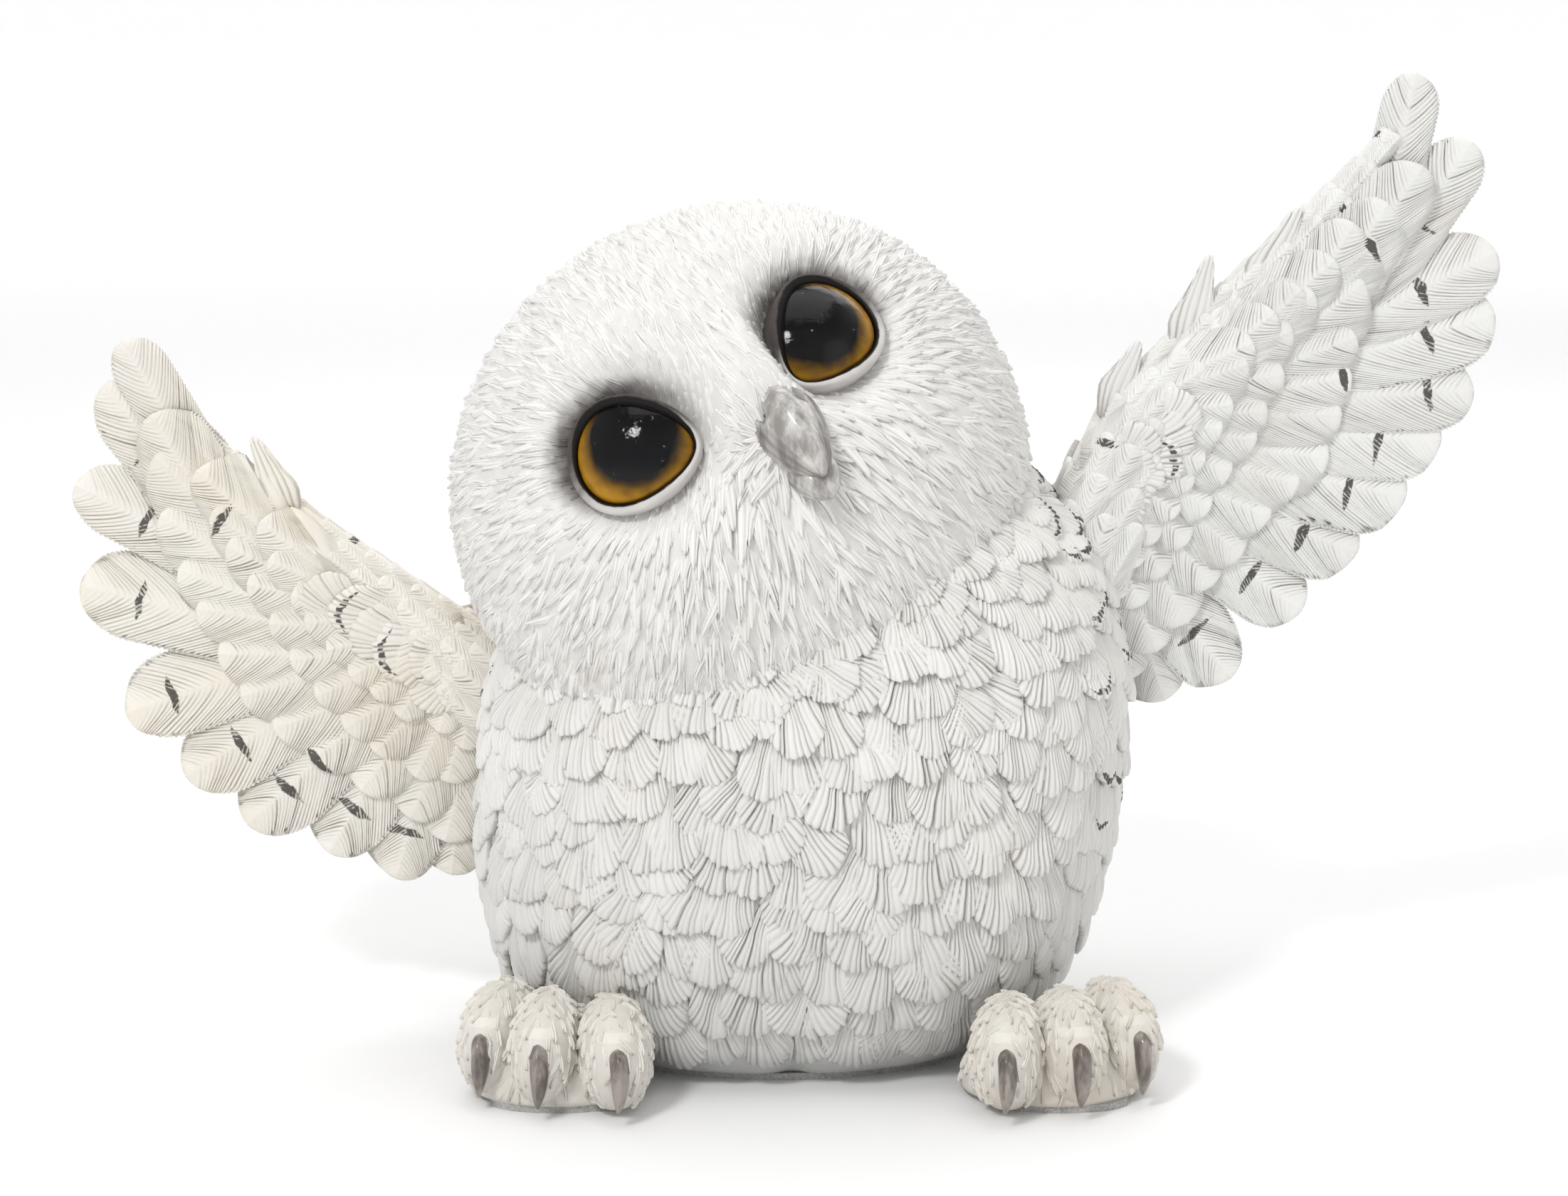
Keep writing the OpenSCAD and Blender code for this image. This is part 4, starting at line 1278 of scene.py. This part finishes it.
def claw(lump, name, node):
    """A long flat claw set in the front of a toe, ridged down its middle."""
    t = np.linspace(0, 1, 26)[:, None]
    turn = circle(28)[None]
    root = np.sqrt(np.clip(1 - (1 - t / 0.2) ** 2, 0.05, 1))
    point = 1 - (np.maximum(t - 0.2, 0) / 0.8) ** 3 * 0.85
    wide = 1.25 * np.where(t < 0.2, root, point)
    ridge = 1 + 0.25 * bell((turn - math.pi) / 0.35)
    x = wide * np.sin(turn) + 0.3 * np.sin(3 * t)
    y = -8.2 - 1.7 * np.sin(1.9 * t) + wide * 1.1 * np.cos(turn) * ridge
    z = 3.2 - 8.4 * t + 0 * turn
    rings = np.stack([x, y, z], -1) @ lump.axes.T + lump.at
    rings[..., 2] = np.maximum(rings[..., 2], 1.05)
    # Painted shade down one side of the claw.
    rings_piece(rings[::-1], name, node, "claw_resin", CLAW_PAINT,
                cavity=0.5 * bell((turn - math.pi / 2) / 0.3) + 0 * t)


def feet():
    for which, toes in TOES.items():
        side = 1 if which == "left" else -1
        node = which + "_foot"
        heap = Heap()
        mound = Lump((side * 33 + 1, -29, 1.2), (12, 9.6, 10.5))
        # Painted shade: the mound and toes under the fur are darkened; the knuckles are not.
        lump_piece(mound, node + "_mound", node, 0.4, 36, 72)
        toe_fur(heap, mound, clawed=False)
        for number, (x, front, turn) in enumerate(toes, 1):
            toe = Lump((x, front + 9.5, 7.23), (4.9, 9.5, 7.6), turn)
            lump_piece(toe, f"{which}_toe_{number}", node, 0.45)
            knuckle = Lump(toe.at + toe.axes @ np.array([0, -4.7, 3.3]), (3.1, 3.6, 2.3), turn)
            lump_piece(knuckle, f"{which}_knuckle_{number}", node, 0.0, 20, 32)
            toe_fur(heap, toe)
            claw(toe, f"{which}_claw_{number}", which + "_claws")
        heap.pieces(node + "_fur", node, "foot_resin", FOOT_PAINT)


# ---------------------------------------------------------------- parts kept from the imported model

def hidden_parts():
    """The pins, the plug and the felt pads keep their CAD shape and get their own finish."""
    felt, metal, black = fibrous("felt", (0.62, 0.61, 0.59)), steel(), rubber()
    for name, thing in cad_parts.items():
        for word, finish in (("pin", metal), ("felt", felt), ("plug", black)):
            if word in name:
                for slot in thing.material_slots:
                    slot.material = finish


body_skin()
body_feathers()
tail_feathers()
head_skin()
head_fur()
eyes()
beak()
wings()
feet()
hidden_parts()


# ---------------------------------------------------------------- floor, light and camera

def look_from(azimuth, elevation, distance, aim):
    """Camera place and rotation for a view of aim from azimuth and elevation, in degrees."""
    a, e = math.radians(azimuth), math.radians(elevation)
    back = np.array([math.sin(a) * math.cos(e), -math.cos(a) * math.cos(e), math.sin(e)])
    return (np.array(aim) + distance * back) * MM, (math.radians(90 - elevation), 0, a)


def camera():
    data = bpy.data.cameras.new("camera")
    data.lens, data.sensor_width = 75, 36
    data.clip_start, data.clip_end = 0.01, 20
    place, rotation = look_from(0, 10, 458.96, (-1.85, 0, 62.5))
    thing = show("camera", data)
    thing.location, thing.rotation_euler = place, rotation
    bpy.context.scene.camera = thing


def backdrop():
    """A pale floor that sweeps up into a wall all round, far from the owl."""
    turn = circle(96)
    bend = np.linspace(0, math.pi / 2, 14)
    reach = np.concatenate([[0.3, 0.8, 1.3], 1.6 + 1.2 * np.sin(bend), [2.8]])
    height = np.concatenate([[0, 0, 0], 1.2 * (1 - np.cos(bend)), [3.5]])
    reach, height = reach[:, None], height[:, None]
    rows = np.stack([reach * np.cos(turn), reach * np.sin(turn), height + 0 * turn], -1)
    cols = len(turn)
    faces = [(r * cols + c, (r + 1) * cols + c, (r + 1) * cols + (c + 1) % cols, r * cols + (c + 1) % cols)
             for r in range(len(rows) - 1) for c in range(cols)]
    mesh = bpy.data.meshes.new("backdrop")
    mesh.from_pydata(rows.reshape(-1, 3).tolist(), [], faces + [tuple(range(cols))])
    mesh.polygons.foreach_set("use_smooth", np.ones(len(mesh.polygons), bool))
    p = Paint("backdrop")
    glow = p.step(p.axis("Y"), 0.4, 1.8, 0.0, 0.24)  # only the wall behind the owl glows
    tone = p.mix(p.noise(300), (0.91, 0.91, 0.91), (0.93, 0.93, 0.93))
    mesh.materials.append(p.finish(Base_Color=tone, Roughness=0.95, Emission_Color=(1, 1, 1),
                                   Emission_Strength=glow))
    show("backdrop", mesh)


def soft_box(name, place, size, power):
    """A white area light at a place in metres, turned to the middle of the owl."""
    data = bpy.data.lights.new(name, "AREA")
    data.shape, data.energy = "RECTANGLE", power
    data.size, data.size_y = size
    thing = show(name, data)
    thing.location = place
    thing.rotation_euler = (Vector((0, 0, 0.07)) - Vector(place)).to_track_quat("-Z", "Y").to_euler()


def studio():
    world = bpy.data.worlds.new("studio")
    world.use_nodes = True
    sky = world.node_tree.nodes["Background"]
    sky.inputs["Color"].default_value = (1, 1, 1, 1)
    sky.inputs["Strength"].default_value = 0.4
    bpy.context.scene.world = world
    bpy.context.scene.view_settings.view_transform = "Standard"
    soft_box("key", (-0.3, -0.52, 0.58), (0.13, 0.13), 2.35)
    soft_box("fill", (0.6, -0.5, 0.3), (0.5, 0.5), 0.5)
    soft_box("back", (0.2, 0.6, 0.6), (0.6, 0.4), 1.2)
    soft_box("wall", (0, 0.2, 2.2), (2.2, 2.2), 22.0)


camera()
backdrop()
studio()
